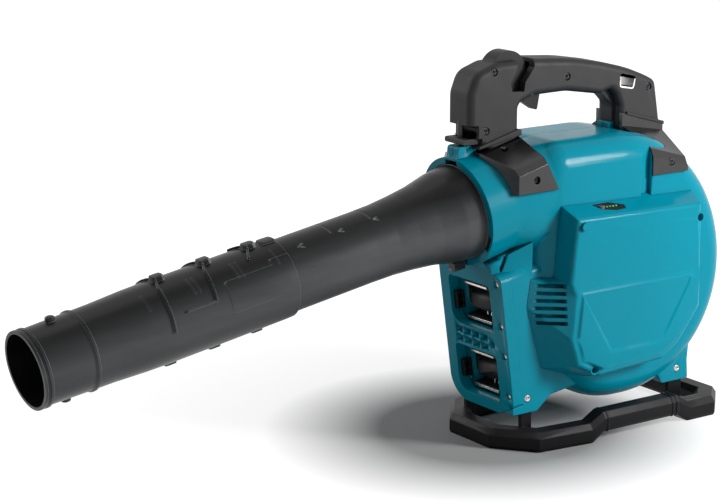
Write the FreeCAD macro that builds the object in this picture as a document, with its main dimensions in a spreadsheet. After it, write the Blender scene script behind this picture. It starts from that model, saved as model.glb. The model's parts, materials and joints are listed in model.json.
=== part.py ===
"""Cordless leaf blower with two battery bays: volute housing, carry handle, telescoping nozzle and stand.

Frame: the nozzle points to -X, the motor cover is on the -Y side, the air intake on the +Y side and +Z is up.
The origin is on the ground, in the mid plane, under the middle of the stand's front bar. Lengths are millimetres.
"""
import FreeCAD
import Part
import math
import operator
import os
import Sketcher

V = FreeCAD.Vector
doc = FreeCAD.newDocument("blower")

SIZES = [
    # volute and outlet duct
    ("fan_x", 135, "fan axis behind the stand's front bar"),
    ("fan_z", 150, "fan axis above the ground"),
    ("scroll_r", 112, "radius of the first quarter of the scroll"),
    ("scroll_step", 16, "growth of the scroll's radius with each quarter turn"),
    ("rear_shift", 9, "how far the scroll's rear half stands off its front half"),
    ("scroll_half", 58, "half width of the volute"),
    ("edge_r", 26, "rounding of the volute's two rims"),
    ("roof_r", 34, "front corner of the roof"),
    ("wall", 3, "wall of the casing"),
    ("nozzle_tilt", 10, "how far the nozzle points down, in degrees"),
    ("mouth_x", -28, "middle of the duct's mouth"),
    ("mouth_z", 236, "middle of the duct's mouth above the ground"),
    ("duct_r", 55, "outside of the round duct"),
    ("duct_neck", 30, "length of the duct that stays round"),
    ("duct_floor", 190, "height of the duct's floor where it meets the volute"),
    ("lip", 6, "length of the bayonet lip in the mouth"),
    ("saddle", 2, "how far the glossy saddles stand out from the sides of the housing"),
    # nozzle
    ("spigot_r", 48, "outside of the nozzle's spigot"),
    ("spigot_len", 22, "spigot inside the mouth"),
    ("fit_gap", 0.3, "gap between pieces that slide or turn on each other"),
    ("tube_r", 35, "outside of the inner tube"),
    ("tube_wall", 2.5, "wall of the nozzle"),
    ("cone_len", 100, "length of the flared cone"),
    ("tube_end", 250, "end of the inner tube from the mouth"),
    ("sleeve_start", 211, "rear edge of the sleeve when it is drawn out"),
    ("sleeve_len", 263, "length of the sleeve with its tip"),
    ("grip_len", 127, "length of the sleeve's wide part"),
    ("tip_r", 33.4, "bore of the nozzle's tip"),
    ("lug_gap", 0.6, "gap between the bayonet lugs and the wall round them"),
    # battery bay
    ("bay_x", 10, "foot of the bay's front face"),
    ("bay_z", 12, "height of the foot of the bay's front face"),
    ("bay_tilt", 8, "lean of the bay's front face, in degrees"),
    ("bay_half", 50, "half width of the bay"),
    ("bay_low", 20, "underside of the bay, up its front face"),
    ("bay_high", 168, "top of the bay, up its front face"),
    ("bay_bevel", 11, "height of the bevel on the bay's lower left corner"),
    ("bay_depth", 34, "depth of each battery bay"),
    ("bay_reach", 92, "how far the bay's box runs into the volute"),
    ("frame_deep", 12, "thickness of the battery frame"),
    ("window_wide", 66, "width of each battery opening"),
    ("window_high", 50, "height of each battery opening"),
    ("window_mid_y", 3, "middle of the openings across the bay"),
    ("window_low", 31, "lower edge of the lower opening"),
    ("bay_pitch", 73, "spacing of the two openings"),
    ("block_wide", 50, "width of a terminal block"),
    ("block_high", 41, "height of a terminal block"),
    # stand
    ("stand_wide", 22, "width of the stand's bar"),
    ("stand_high", 20, "height of the stand's bar"),
    ("stand_lift", 9, "how far the stand's side tubes are raised"),
    ("stand_rear", 265, "rear bar of the stand behind the front bar"),
    ("stand_half", 68, "half spacing of the stand's side bars"),
    ("tab_thick", 5, "thickness of the stand's screw tabs"),
    ("tab_top", 57, "top of the stand's front screw tabs"),
    ("rear_tab_top", 52.5, "top of the stand's rear screw tabs, under the fan chamber"),
    ("far_leg_x", 13, "front of the right front leg, behind the rounded corner of the bay"),
    ("leg_thick", 12, "thickness of the housing's legs"),
    # handle
    ("grip_half", 18.5, "half thickness of the handle"),
    ("grip_wall", 4, "wall of the handle"),
    ("grip_edge", 7, "rounding of the handle's edges"),
    ("trigger_x", 49, "trigger pivot"),
    ("trigger_up", 45, "trigger pivot above the volute's roof"),
    ("trigger_half", 5, "half width of the trigger"),
    ("pin_r", 1.8, "radius of the trigger and lever pins"),
    ("pin_gap", 0.05, "radial clearance of what turns on a pin"),
    ("lever_x", 25, "axis of the speed lever"),
    ("lever_up", 66, "axis of the speed lever above the volute's roof"),
    ("lever_r", 22, "radius of the speed lever"),
    ("lever_half", 9, "half thickness of the speed lever"),
    ("strap_pin_r", 3, "radius of the strap pin"),
    ("web_half", 8, "half thickness of the web at the inner end of the handle's rear leg"),
    # motor and fan
    ("shaft_r", 5, "radius of the motor shaft"),
    ("shaft_gap", 0.05, "radial clearance in the bearings"),
    ("rotor_r", 20, "radius of the rotor"),
    ("stator_r", 40, "outside of the stator"),
    ("air_gap", 1, "gap between rotor and stator"),
    ("bearing_r", 13, "outside of the front bearing"),
    ("cap_bearing_r", 11, "outside of the rear bearing"),
    ("bearing_wide", 7, "width of a bearing"),
    ("mount_r", 60, "radius of the motor mount's flange"),
    ("motor_hole_r", 50, "hole for the motor in the left wall"),
    ("cutoff_gap", 9, "gap between the impeller and the narrowest part of the scroll"),
    ("impeller_y", 8, "back of the impeller"),
    ("blade_high", 30, "width of the impeller's blades"),
    ("eye_r", 50, "eye of the impeller"),
    ("blades", 11, "number of blades"),
    # intake
    ("intake_r", 52, "bore of the intake ring"),
    ("intake_hole_r", 60, "hole for the intake ring in the right wall"),
    ("ring_r", 78, "outside of the intake ring"),
    ("ring_thick", 9, "thickness of the intake ring"),
    ("cover_r", 76, "radius of the inlet cover"),
    ("cover_thick", 10, "thickness of the inlet cover"),
    ("hinge_r", 2.2, "radius of the inlet cover's hinge pin"),
    ("hinge_x", 51, "inlet cover's hinge, behind the front bar"),
    ("knuckle_r", 5, "radius of the hinge knuckles"),
    ("knob_r", 11, "radius of the cover's knob"),
    # motor cover
    ("cover_rise", 23, "motor cover's outer face beyond the volute's wall"),
    ("cover_skirt", 12, "how far the motor cover's rim laps over the volute's edge"),
    # fasteners
    ("head_r", 3.6, "radius of a screw head"),
    ("head_high", 2.4, "height of a screw head"),
    ("shank_r", 1.9, "radius of a screw shank"),
    ("shank_len", 9, "length of a screw shank"),
]

sheet = doc.addObject("Spreadsheet::Sheet", "Dims")
for row, (alias, value, meaning) in enumerate(SIZES, start=1):
    sheet.set(f"A{row}", alias)
    sheet.set(f"B{row}", str(value))
    sheet.set(f"C{row}", meaning)
    sheet.setAlias(f"B{row}", alias)
doc.recompute()


class Size:
    """A number of the sheet, or a sum or product of such numbers, with the expression that gives it."""

    def __init__(self, value, text):
        self.value = float(value)
        self.text = text

    def __float__(self):
        return self.value

    def __add__(self, other):
        return joined(self, "+", other)

    def __radd__(self, other):
        return joined(other, "+", self)

    def __sub__(self, other):
        return joined(self, "-", other)

    def __rsub__(self, other):
        return joined(other, "-", self)

    def __mul__(self, other):
        return joined(self, "*", other)

    def __rmul__(self, other):
        return joined(other, "*", self)

    def __truediv__(self, other):
        return joined(self, "/", other)

    def __neg__(self):
        return joined(0, "-", self)


SIGNS = {"+": operator.add, "-": operator.sub, "*": operator.mul, "/": operator.truediv}


def words(size):
    return size.text if isinstance(size, Size) else repr(size)


def joined(left, sign, right):
    value = SIGNS[sign](float(left), float(right))
    return Size(value, f"({words(left)} {sign} {words(right)})")


class Sheet:
    """The sheet's sizes, each as a Size that can be bound to a property."""

    def __getattr__(self, alias):
        return Size(sheet.get(alias), "Dims." + alias)


class Numbers:
    """The sheet's sizes as plain numbers, for shapes that are worked out here."""

    def __getattr__(self, alias):
        return float(sheet.get(alias))


s = Sheet()
n = Numbers()
NODES = []


# ---------------------------------------------------------------- document objects

def bind(obj, path, size):
    """Sets a property, and ties it to the sheet where the size comes from there."""
    if isinstance(size, Size):
        obj.setExpression(path, size.text)
    else:
        setattr(obj, path, size)


def place(obj, x=0, y=0, z=0, axis=(0, 0, 1), angle=0):
    """Puts an object at a point and turns it, with every size tied to the sheet."""
    obj.Placement = FreeCAD.Placement(V(float(x), float(y), float(z)), FreeCAD.Rotation(V(*axis), float(angle)))
    for letter, size in (("x", x), ("y", y), ("z", z)):
        if isinstance(size, Size):
            obj.setExpression("Placement.Base." + letter, size.text)
    if isinstance(angle, Size):
        obj.setExpression("Placement.Rotation.Angle", angle.text)
    return obj


def primitive(kind, name, where, **sizes):
    obj = doc.addObject("Part::" + kind, name)
    for path, size in sizes.items():
        bind(obj, path, size)
    return place(obj, *where)


def box(name, low, size):
    return primitive("Box", name, low, Length=size[0], Width=size[1], Height=size[2])


def rod_z(name, x, y, z, radius, length):
    return primitive("Cylinder", name, (x, y, z), Radius=radius, Height=length)


def rod_y(name, x, y, z, radius, length):
    """Cylinder that runs from its point towards +Y."""
    return primitive("Cylinder", name, (x, y, z, (1, 0, 0), -90), Radius=radius, Height=length)


def cut(name, base, tool):
    obj = doc.addObject("Part::Cut", name)
    obj.Base = base
    obj.Tool = tool
    return obj


def fuse(name, pieces):
    obj = doc.addObject("Part::MultiFuse", name)
    obj.Shapes = pieces
    return obj


def group(name, pieces):
    obj = doc.addObject("Part::Compound", name)
    obj.Links = pieces
    return obj


def feature(name, shape):
    obj = doc.addObject("Part::Feature", name)
    obj.Shape = shape
    return obj


def node(name, obj):
    """Marks an object as a finished sub-part; its label names its file."""
    obj.Label = name
    NODES.append(obj)
    return obj


def origin_plane(body, role):
    return next(f for f in body.Origin.OriginFeatures if f.Role == role)


def outline(body, name, role, corners, offset=0):
    """Closed sketch of straight sides whose corners are tied to the sheet."""
    sketch = body.newObject("Sketcher::SketchObject", name)
    sketch.AttachmentSupport = [(origin_plane(body, role), "")]
    sketch.MapMode = "FlatFace"
    sketch.AttachmentOffset = FreeCAD.Placement(V(0, 0, float(offset)), FreeCAD.Rotation())
    if isinstance(offset, Size):
        sketch.setExpression("AttachmentOffset.Base.z", offset.text)
    count = len(corners)
    points = [V(float(a), float(b), 0) for a, b in corners]
    for i in range(count):
        sketch.addGeometry(Part.LineSegment(points[i], points[(i + 1) % count]), False)
    for i in range(count):
        sketch.addConstraint(Sketcher.Constraint("Coincident", i, 2, (i + 1) % count, 1))
    for i, corner in enumerate(corners):
        for kind, size in zip(("DistanceX", "DistanceY"), corner):
            index = sketch.addConstraint(Sketcher.Constraint(kind, -1, 1, i, 1, float(size)))
            if isinstance(size, Size):
                sketch.setExpression(f"Constraints[{index}]", size.text)
    return sketch


def turn(body, name, corners):
    """Revolves an outline of (radius, height) corners about the body's Z axis."""
    sketch = outline(body, name + "_outline", "XZ_Plane", corners)
    solid = body.newObject("PartDesign::Revolution", name)
    solid.Profile = sketch
    solid.ReferenceAxis = (sketch, ["V_Axis"])
    solid.Angle = 360
    return solid


def pad(body, name, role, corners, length, offset=0):
    """Pads an outline, half to each side of its plane where no offset is given."""
    sketch = outline(body, name + "_outline", role, corners, offset)
    solid = body.newObject("PartDesign::Pad", name)
    solid.Profile = sketch
    bind(solid, "Length", length)
    solid.Midplane = float(offset) == 0
    return solid


def ring_of(body, name, feature_in, count):
    """Repeats a feature of a body about its Z axis."""
    pattern = body.newObject("PartDesign::PolarPattern", name)
    pattern.Originals = [feature_in]
    pattern.Axis = (origin_plane(body, "Z_Axis"), [""])
    pattern.Angle = 360
    bind(pattern, "Occurrences", count)
    body.Tip = pattern
    return pattern


# ---------------------------------------------------------------- shapes worked out here

def line(a, b):
    return Part.LineSegment(a, b).toShape()


def bend(a, middle, b):
    return Part.Arc(a, middle, b).toShape()


SPACES = {
    "x": lambda a, b, depth: V(depth, a, b),
    "y": lambda a, b, depth: V(a, depth, b),
    "z": lambda a, b, depth: V(a, b, depth),
}


def rounded_wire(points, radii, across, depth):
    """Closed outline in the plane across an axis, each corner an arc that is tangent to both its sides."""
    count = len(points)
    if not isinstance(radii, (list, tuple)):
        radii = [radii] * count
    flat = [V(a, b, 0) for a, b in points]
    arcs = []
    for i, here in enumerate(flat):
        before = (flat[i - 1] - here).normalize()
        after = (flat[(i + 1) % count] - here).normalize()
        if radii[i] <= 0:
            arcs.append((here, None, here))
            continue
        half = before.getAngle(after) / 2
        trim = radii[i] / math.tan(half)
        way = (before + after).normalize()
        centre = here + way * (radii[i] / math.sin(half))
        arcs.append((here + before * trim, centre - way * radii[i], here + after * trim))
    lift = SPACES[across]
    edges = []
    for i, (start, middle, end) in enumerate(arcs):
        last = arcs[i - 1][2]
        if (start - last).Length > 1e-6:
            edges.append(line(lift(last.x, last.y, depth), lift(start.x, start.y, depth)))
        if middle is not None:
            edges.append(bend(*(lift(p.x, p.y, depth) for p in (start, middle, end))))
    return Part.Wire(edges)


def prism(points, radii, across, low, high):
    """Solid with a rounded outline, from one depth to another along an axis."""
    lift = SPACES[across]
    base = Part.Face(rounded_wire(points, radii, across, low))
    return base.extrude(lift(0, 0, high - low))


def inset(points, distance):
    """Corners of an outline moved inwards by the same distance from each side."""
    area = sum(a[0] * b[1] - b[0] * a[1] for a, b in zip(points, points[1:] + points[:1]))
    turn_way = 1 if area > 0 else -1
    count = len(points)
    moved = []
    for i, (x, z) in enumerate(points):
        before = points[i - 1]
        after = points[(i + 1) % count]
        d1 = V(x - before[0], z - before[1], 0).normalize()
        d2 = V(after[0] - x, after[1] - z, 0).normalize()
        n1 = V(-d1.y, d1.x, 0) * turn_way
        n2 = V(-d2.y, d2.x, 0) * turn_way
        shift = (n1 + n2) * (distance / (1 + n1.dot(n2)))
        moved.append((x + shift.x, z + shift.y))
    return moved


def loft(*wires):
    return Part.makeLoft(list(wires), True, True)


def cylinder(radius, length, at, way):
    return Part.makeCylinder(radius, length, V(*at), V(*way))


def block(low, high):
    low, high = V(*low), V(*high)
    return Part.makeBox(high.x - low.x, high.y - low.y, high.z - low.z, low)


def half_space(side):
    """Everything on one side of the mid plane, as a large block."""
    reach = 2000
    low = -reach if side < 0 else 0
    return block((-reach, low, -reach), (reach, low + reach, reach))


def rim_edges(shape):
    """Edges that lie in a plane across Y."""
    return [e for e in shape.Edges if e.BoundBox.YLength < 1e-6]


# ---------------------------------------------------------------- local frames

def duct_point(along, up, y):
    """Point by its distance from the mouth towards the fan, and its height above the duct's axis."""
    tilt = math.radians(n.nozzle_tilt)
    x = n.mouth_x + along * math.cos(tilt) - up * math.sin(tilt)
    z = n.mouth_z + along * math.sin(tilt) + up * math.cos(tilt)
    return V(x, y, z)


def duct_rod(radius, low, high, up=0):
    """Cylinder along the duct's axis, from one distance from the mouth to another."""
    start = duct_point(low, up, 0)
    way = duct_point(high, up, 0) - start
    return Part.makeCylinder(radius, high - low, start, way)


def place_on_nozzle(obj):
    """Stands an object on the mouth, with its Z axis towards the nozzle's tip and its X axis up."""
    return place(obj, s.mouth_x, 0, s.mouth_z, (0, 1, 0), -(90 + s.nozzle_tilt))


def nozzle_placement():
    turned = FreeCAD.Rotation(V(0, 1, 0), -(90 + n.nozzle_tilt))
    return FreeCAD.Placement(V(n.mouth_x, 0, n.mouth_z), turned)


def bay_placement():
    """The bay's own frame: X into the bay, Y across it, Z up its front face."""
    return FreeCAD.Placement(V(n.bay_x, 0, n.bay_z), FreeCAD.Rotation(V(0, 1, 0), -n.bay_tilt))


def place_in_bay(obj):
    return place(obj, s.bay_x, 0, s.bay_z, (0, 1, 0), -s.bay_tilt)


def moved(shape, placement):
    shape = shape.copy()
    shape.Placement = placement.multiply(shape.Placement)
    return shape


# ---------------------------------------------------------------- housing

def scroll(grow):
    """Volute drum: quarter arcs about the corners of a square, closed by a flat roof and a flat front."""
    half = n.scroll_half + grow
    step = n.scroll_step
    cx = n.fan_x + step / 2
    rear_x = cx + n.rear_shift
    cz = n.fan_z - step / 2
    r = n.scroll_r + grow
    roof = roof_height() + grow
    corner_x = cx - n.scroll_r + n.roof_r
    corner_z = roof_height() - n.roof_r

    def quarter(x, z, radius, start):
        def at(angle):
            turned = math.radians(start + angle)
            return V(x + radius * math.cos(turned), -half, z + radius * math.sin(turned))
        return bend(at(0), at(45), at(90))

    edges = [
        quarter(cx, cz, r, 180),
        line(V(cx, -half, cz - r), V(rear_x, -half, cz - r)),
        quarter(rear_x, cz + step, r + step, 270),
        quarter(rear_x - step, cz + step, r + 2 * step, 0),
        line(V(rear_x - step, -half, roof), V(corner_x, -half, roof)),
        quarter(corner_x, corner_z, n.roof_r + grow, 90),
        line(V(cx - r, -half, corner_z), V(cx - r, -half, cz)),
    ]
    drum = Part.Face(Part.Wire(edges)).extrude(V(0, 2 * half, 0))
    return drum.makeFillet(n.edge_r + grow, rim_edges(drum))


def roof_height(sizes=n):
    """Top of the volute. What stands on it is given as (along, above the roof)."""
    return sizes.fan_z - sizes.scroll_step / 2 + sizes.scroll_r + 3 * sizes.scroll_step


def above_roof(points):
    return [(x, roof_height() + up) for x, up in points]


def duct(grow):
    """Outlet duct: round at the mouth, rounded square where it runs into the volute."""
    side = 20
    radius = n.duct_r + grow

    def at(angle):
        turned = math.radians(angle)
        return duct_point(n.duct_neck, radius * math.sin(turned), radius * math.cos(turned))

    round_edges = []
    for quarter in range(4):
        middle = 90 * quarter
        round_edges.append(bend(at(middle - side), at(middle), at(middle + side)))
        round_edges.append(bend(at(middle + side), at(middle + 45), at(middle + 90 - side)))
    plane_x = n.fan_x + n.scroll_step / 2 - n.scroll_r + n.roof_r + 4
    half = n.scroll_half + grow
    top = roof_height() + grow
    floor = n.duct_floor - grow
    r = n.edge_r + grow
    square = [(half, floor), (half, top), (-half, top), (-half, floor)]
    square_edges = start_on_side(rounded_wire(square, r, "x", plane_x).OrderedEdges, half)
    flare = loft(Part.Wire(round_edges), Part.Wire(square_edges))
    return flare.fuse(duct_rod(radius, 0, n.duct_neck))


def start_on_side(edges, half):
    """Orders the edges of a rounded square so that the +Y side comes first, then the corner above it."""
    def is_side(edge):
        box_of = edge.BoundBox
        return box_of.YLength < 1e-6 and abs(box_of.YMax - half) < 1e-6
    first = next(i for i, edge in enumerate(edges) if is_side(edge))
    return edges[first:] + edges[:first]


def skin(grow):
    """Outside of the volute and its duct, grown by a distance."""
    return scroll(grow).fuse(duct(grow)).removeSplitter()


def bay_block(grow, front, back):
    """Box of the battery bay: its outline across the machine, carried along its depth."""
    half = n.bay_half + grow
    low = n.bay_low - grow
    high = n.bay_high + grow
    outline_of = [(-half, low + n.bay_bevel), (-26, low), (half, low), (half, high), (-half, high)]
    radii = [4 + grow, 8 + grow, 26 + grow, 9 + grow, 9 + grow]
    return moved(prism(outline_of, radii, "x", front, back), bay_placement())


def leg(points, side):
    """Flat leg on one side of the casing, flush with the bay's side, that takes the stand's tabs."""
    if side > 0:
        points = [(max(x, n.far_leg_x), z) for x, z in points]
    low, high = sorted((side * n.bay_half, side * (n.bay_half - n.leg_thick)))
    return prism(points, 1.5, "y", low, high)


def tab_block(span, top, side, gap=0.0):
    """Screw tab of the stand inside a leg, or its pocket where there is a gap."""
    middle = side * (n.bay_half - n.leg_thick / 2)
    reach = n.tab_thick / 2 + gap
    return block(
        (span[0] - gap, middle - reach, n.stand_high / 2),
        (span[1] + gap, middle + reach, top + gap),
    )


SIDES = (-1, 1)
FRONT_LEG = [(5, 35.5), (35, 35.5), (52, 49), (55, 62), (50, 78), (22, 80), (5, 60)]
REAR_LEG = [(180, 76), (237, 77), (235, 56), (236.5, 35.5), (201.5, 35.5), (196, 43)]
LEGS = ((FRONT_LEG, (18.5, 31), n.tab_top), (REAR_LEG, (213.5, 231), n.rear_tab_top))
LEG_SCREWS = ((23, 50), (221, 48))
BOARD_POSTS = ((84, 214), (184, 214))
LATCH_UP = n.spigot_r + 3.6


def pedestal():
    """Raised seat on the roof for the web of the handle's rear leg."""
    half = n.web_half + 0.5
    points = above_roof([(155.5, -22), (155.5, 5), (168, 5), (176, -3), (176, -22)])
    return prism(points, [0, 1.5, 3, 3, 0], "y", -half, half)


def trench(grow):
    """Upright groove in the left side in front of the rear saddle, or its walls where it is grown."""
    side = n.scroll_half
    return block((157 - grow, -side - 1, 234 - grow), (170.8 + grow, 4.5 + grow - side, 288 + grow))


def collar_boss():
    """Small trapezoid boss on top of the mouth."""
    return prism([(-36, 280), (-34, 301.5), (-14, 301.5), (-10, 280)], [0, 3, 3, 0], "y", -9, 9)


def shoulder():
    """Ledge between the duct and the bay's top that widens towards the rear, with a small slot on each side."""
    front = [(-34, 188), (34, 188), (40, 172), (-40, 172)]
    rear = [(-50, 208), (50, 208), (50, 172), (-50, 172)]
    ledge = loft(rounded_wire(front, 0, "x", -14), rounded_wire(rear, 0, "x", 26))
    slots = [block((-6, side * 39 - 1.3, 180), (3, side * 39 + 1.3, 200)) for side in SIDES]
    return ledge.cut(slots + [bay_block(0, -30, n.frame_deep)])


def housing_outside():
    pieces = [bay_block(0, n.frame_deep, n.bay_reach), pedestal(), collar_boss(), shoulder()]
    in_front = bay_block(0.5, -30, n.frame_deep)
    for points, _, _ in LEGS:
        for side in SIDES:
            pieces.append(leg(points, side).cut(in_front))
    for x, z in BOARD_POSTS:
        pieces.append(cylinder(4, 7, (x, -n.scroll_half + 0.5, z), (0, -1, 0)))
    return skin(0).fuse(pieces).cut(trench(0))


def housing_hollow():
    """Fan chamber, duct, mouth, the open bays and the space behind them."""
    mouth = duct_rod(n.spigot_r + n.fit_gap, -1, n.lip + 1)
    chamber = skin(-n.wall).cut([duct_rod(n.duct_r, -1, n.lip), trench(n.wall)])
    behind = bay_block(-n.wall, n.bay_depth + n.wall, n.bay_reach).cut(skin(0))
    return chamber.fuse([mouth, behind] + [bay_space(index) for index in (0, 1)])


def window_middle(index):
    """Height of the middle of a battery opening, up the bay's front face."""
    return n.window_low + n.window_high / 2 + index * n.bay_pitch


def window(index, margin, front, back, radii=4):
    """Outline of a battery opening with a margin round it, carried into the bay."""
    half = n.window_wide / 2 + margin
    low = window_middle(index) - n.window_high / 2 - margin
    high = low + n.window_high + 2 * margin
    y = n.window_mid_y
    corners = [(y - half, low), (y + half, low), (y + half, high), (y - half, high)]
    return moved(prism(corners, radii, "x", front, back), bay_placement())


def bay_space(index):
    return window(index, 4, n.frame_deep, n.bay_depth)


def lug_radius():
    return s.duct_r - s.wall - s.lug_gap


def lug_notches():
    """Entries in the mouth's lip for the nozzle's three lugs, a sixth of a turn from where they lock."""
    notch = block((-float(lug_radius()) - 1, -9, -1), (-n.spigot_r + 4, 9, n.lip + 1))
    notches = []
    for turn_angle in (60, 180, 300):
        turned = notch.copy()
        turned.rotate(V(0, 0, 0), V(0, 0, 1), turn_angle)
        placed = nozzle_placement().multiply(FreeCAD.Placement(V(0, 0, -n.lip), FreeCAD.Rotation()))
        notches.append(moved(turned, placed))
    return notches


def housing_holes():
    """Openings for the motor and the intake, the latch's stem, the tabs and all screws."""
    y = n.scroll_half
    holes = [
        cylinder(n.motor_hole_r, 20, (n.fan_x, -y - 5, n.fan_z), (0, 1, 0)),
        cylinder(n.intake_hole_r, 20, (n.fan_x, y - 10, n.fan_z), (0, 1, 0)),
        duct_rod(2.1, -1, n.lip + 3, up=-LATCH_UP),
    ]
    for _, span, top in LEGS:
        for side in SIDES:
            holes.append(tab_block(span, top, side, gap=n.fit_gap))
    for name in ("cover_screws", "foot_screws", "stand_screws", "frame_screws"):
        holes += [screw_hole(*place_of) for place_of in SCREWS[name]]
    return holes


def make_housing():
    outside = housing_outside()
    shell = outside.cut([housing_hollow()] + lug_notches() + housing_holes())
    seam = block((-200, -0.25, 0), (400, 0.25, 400)).cut(skin(-0.6))
    for name, side in (("housing_left", -1), ("housing_right", 1)):
        half = shell.common(half_space(side)).cut(seam)
        node(name, feature(name, biggest(half)))
    return outside


def biggest(shape):
    """The main solid of a shape, without crumbs left by the cuts."""
    return max(shape.Solids, key=lambda solid: solid.Volume)


# ---------------------------------------------------------------- screws

def bay_point(deep, y, up):
    return bay_placement().multVec(V(deep, y, up))


def screw_seats():
    """Each group's screws: the middle of the head's seat, and the way the shank points."""
    side = n.scroll_half
    into_bay = bay_point(1, 0, 0) - bay_point(0, 0, 0)
    inward = {-1: V(0, 1, 0), 1: V(0, -1, 0)}
    seats = {
        "cover_screws": [(V(x, -side - 6, z), inward[-1]) for x, z in ((64, 224), (218, 214), (83, 77))],
        "foot_screws": [],
        "stand_screws": [],
        "frame_screws": [(bay_point(5, y, up), into_bay) for y, up in ((-41, 158), (-42, 115), (-43, 84), (-43, 42))],
        "handle_screws": [
            (V(x, 3.5 - n.grip_half, z), inward[-1]) for x, z in above_roof([(1, 70), (-8, 13.5), (92, 58), (199, 38.5)])
        ],
    }
    for way in SIDES:
        seats["foot_screws"].append((V(22, way * (side + n.saddle - 5), roof_height() - 31), inward[way]))
        seats["foot_screws"].append((V(196, way * (side + n.saddle - 3), roof_height() - 32), inward[way]))
        for x, z in LEG_SCREWS:
            seats["stand_screws"].append((V(x, way * (n.bay_half - 2), z), inward[way]))
    return seats


SCREWS = screw_seats()


def screw_hole(seat, way):
    """Shank hole with a counterbore for the head."""
    bore = Part.makeCylinder(n.shank_r, n.shank_len + 0.5, seat, way)
    counterbore = Part.makeCylinder(n.head_r + 0.3, 20, seat, way * -1)
    return bore.fuse(counterbore)


def screw(seat, way):
    """Pan-head screw with a cross recess."""
    shank = Part.makeCylinder(n.shank_r, n.shank_len, seat, way)
    head = Part.makeCylinder(n.head_r, n.head_high, seat - way * n.head_high, way)
    head = head.makeFillet(0.9, [e for e in head.Edges if (e.CenterOfMass - seat).Length > n.head_high * 0.9])
    turned = FreeCAD.Placement(seat - way * n.head_high, FreeCAD.Rotation(V(0, 0, 1), way))
    slots = [block((-2.2, -0.4, -0.1), (2.2, 0.4, 1.1)), block((-0.4, -2.2, -0.1), (0.4, 2.2, 1.1))]
    return head.fuse(shank).cut([moved(slot, turned) for slot in slots])


def make_screws():
    for name, seats in SCREWS.items():
        node(name, feature(name, Part.makeCompound([screw(*seat) for seat in seats])))


# ---------------------------------------------------------------- motor cover

COVER_FACE = [
    (57, 231), (50, 168), (58, 155), (53, 112), (62, 84), (90, 70), (172, 74), (194, 88), (221, 122), (219, 228),
]
COVER_FOOT = [
    (53, 247), (46, 172), (19, 173), (15, 148), (36, 78), (86, 61), (176, 65), (203, 82), (232, 118), (228, 242),
]
PANEL_LOW = [(61, 163), (219, 163), (218, 124), (191, 92), (170, 78), (91, 74), (66, 87), (57, 112)]
PANEL_HIGH = [(64, 153), (216, 153), (215, 126), (189, 95), (169, 82), (92, 78), (69, 90), (61, 112)]
STEP_FLOOR = [(64, 156), (103, 96), (168, 96), (204, 156)]
STEP_RIM = [(61, 158), (101, 91), (170, 91), (209, 158)]
EYE = [(88, 5), (112, 6.5), (128, 0), (125, -6.5), (112, -7.5), (97, -4)]


def flat(points, y):
    return rounded_wire(points, 0, "y", -y)


def cover_face():
    return n.scroll_half + n.cover_rise


def cover_solid():
    """Outside of the motor cover, before its facets are raised."""
    foot = n.scroll_half - n.cover_skirt
    shell = loft(flat(COVER_FACE, cover_face()), flat(COVER_FOOT, foot))
    return shell.makeFillet(5, [e for e in rim_edges(shell) if e.BoundBox.YMin < -foot - 1])


def make_motor_cover(outside):
    face = cover_face()
    foot = n.scroll_half - n.cover_skirt
    shell = cover_solid()
    raised = loft(flat(PANEL_LOW, face - 0.5), flat(PANEL_HIGH, face + 3))
    step = loft(flat(STEP_FLOOR, face + 1.2), flat(STEP_RIM, face + 3.1))
    hollow = loft(flat(inset(COVER_FACE, n.wall), face - n.wall), flat(inset(COVER_FOOT, n.wall), foot - 0.1))
    posts = [Part.makeCylinder(5.5, face - n.scroll_half, V(seat.x, -face + 0.5, seat.z), V(0, 1, 0))
             for seat, _ in SCREWS["cover_screws"]]
    cover = shell.fuse(raised).cut(step).cut(hollow).fuse(posts).cut(outside)
    cover = cover.cut([screw_hole(*seat) for seat in SCREWS["cover_screws"]] + louvres() + [eye_prism()])
    node("motor_cover", feature("motor_cover", biggest(cover)))


def louvres():
    """Six cooling slots through the cover's front slope."""
    slots = []
    for index in range(6):
        z = 126 + 7.4 * index
        slots.append(block((5, 4 - cover_face(), z), (50, -n.scroll_half + 4, z + 3.8)))
    return slots


def eye_prism():
    """Eye-shaped opening of the battery gauge in the cover's ledge."""
    points = [(x, y - n.scroll_half - 8) for x, y in EYE]
    return prism(points, 1.5, "z", 228.5, 250)


def make_panel():
    """Battery gauge in the cover's ledge: panel, check button and four lamps."""
    face_y = -n.scroll_half - 8
    sunk = cover_solid()
    sunk.translate(V(0, 0, -0.5))
    wells = [cylinder(3.2 + n.pin_gap, 20, (99, face_y, 232), (0, 0, 1))]
    wells += [cylinder(1.1, 20, (105.5 + 4 * index, face_y, 234), (0, 0, 1)) for index in range(4)]
    panel = eye_prism().common(sunk).cut(wells)
    node("indicator_panel", feature("indicator_panel", biggest(panel)))
    middle = -s.scroll_half - 8
    node("check_button", rod_z("button_stem", 99, middle, 233, 3.2, 4.7))
    lamps = [rod_z(f"lamp_{index}", 105.5 + 4 * index, middle, 234, 1.1, 2.8) for index in range(4)]
    node("indicator_lamps", group("indicator_lamps", lamps))


def make_board():
    """Motor controller on two posts inside the motor cover."""
    board_y = -s.scroll_half - 8.1
    plate = box("board_plate", (76, board_y, 203), (116, 1.6, 20))
    heat_sink = box("heat_sink", (90, board_y - 7, 206), (58, 7, 14))
    fins = [box(f"fin_{index}", (92 + 6 * index, board_y - 10, 206), (2, 3, 14)) for index in range(9)]
    can = primitive("Cylinder", "capacitor", (166, board_y, 213, (1, 0, 0), 90), Radius=5.5, Height=9)
    node("controller_board", fuse("controller_board", [plate, heat_sink, can] + fins))


# ---------------------------------------------------------------- battery bay

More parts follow.
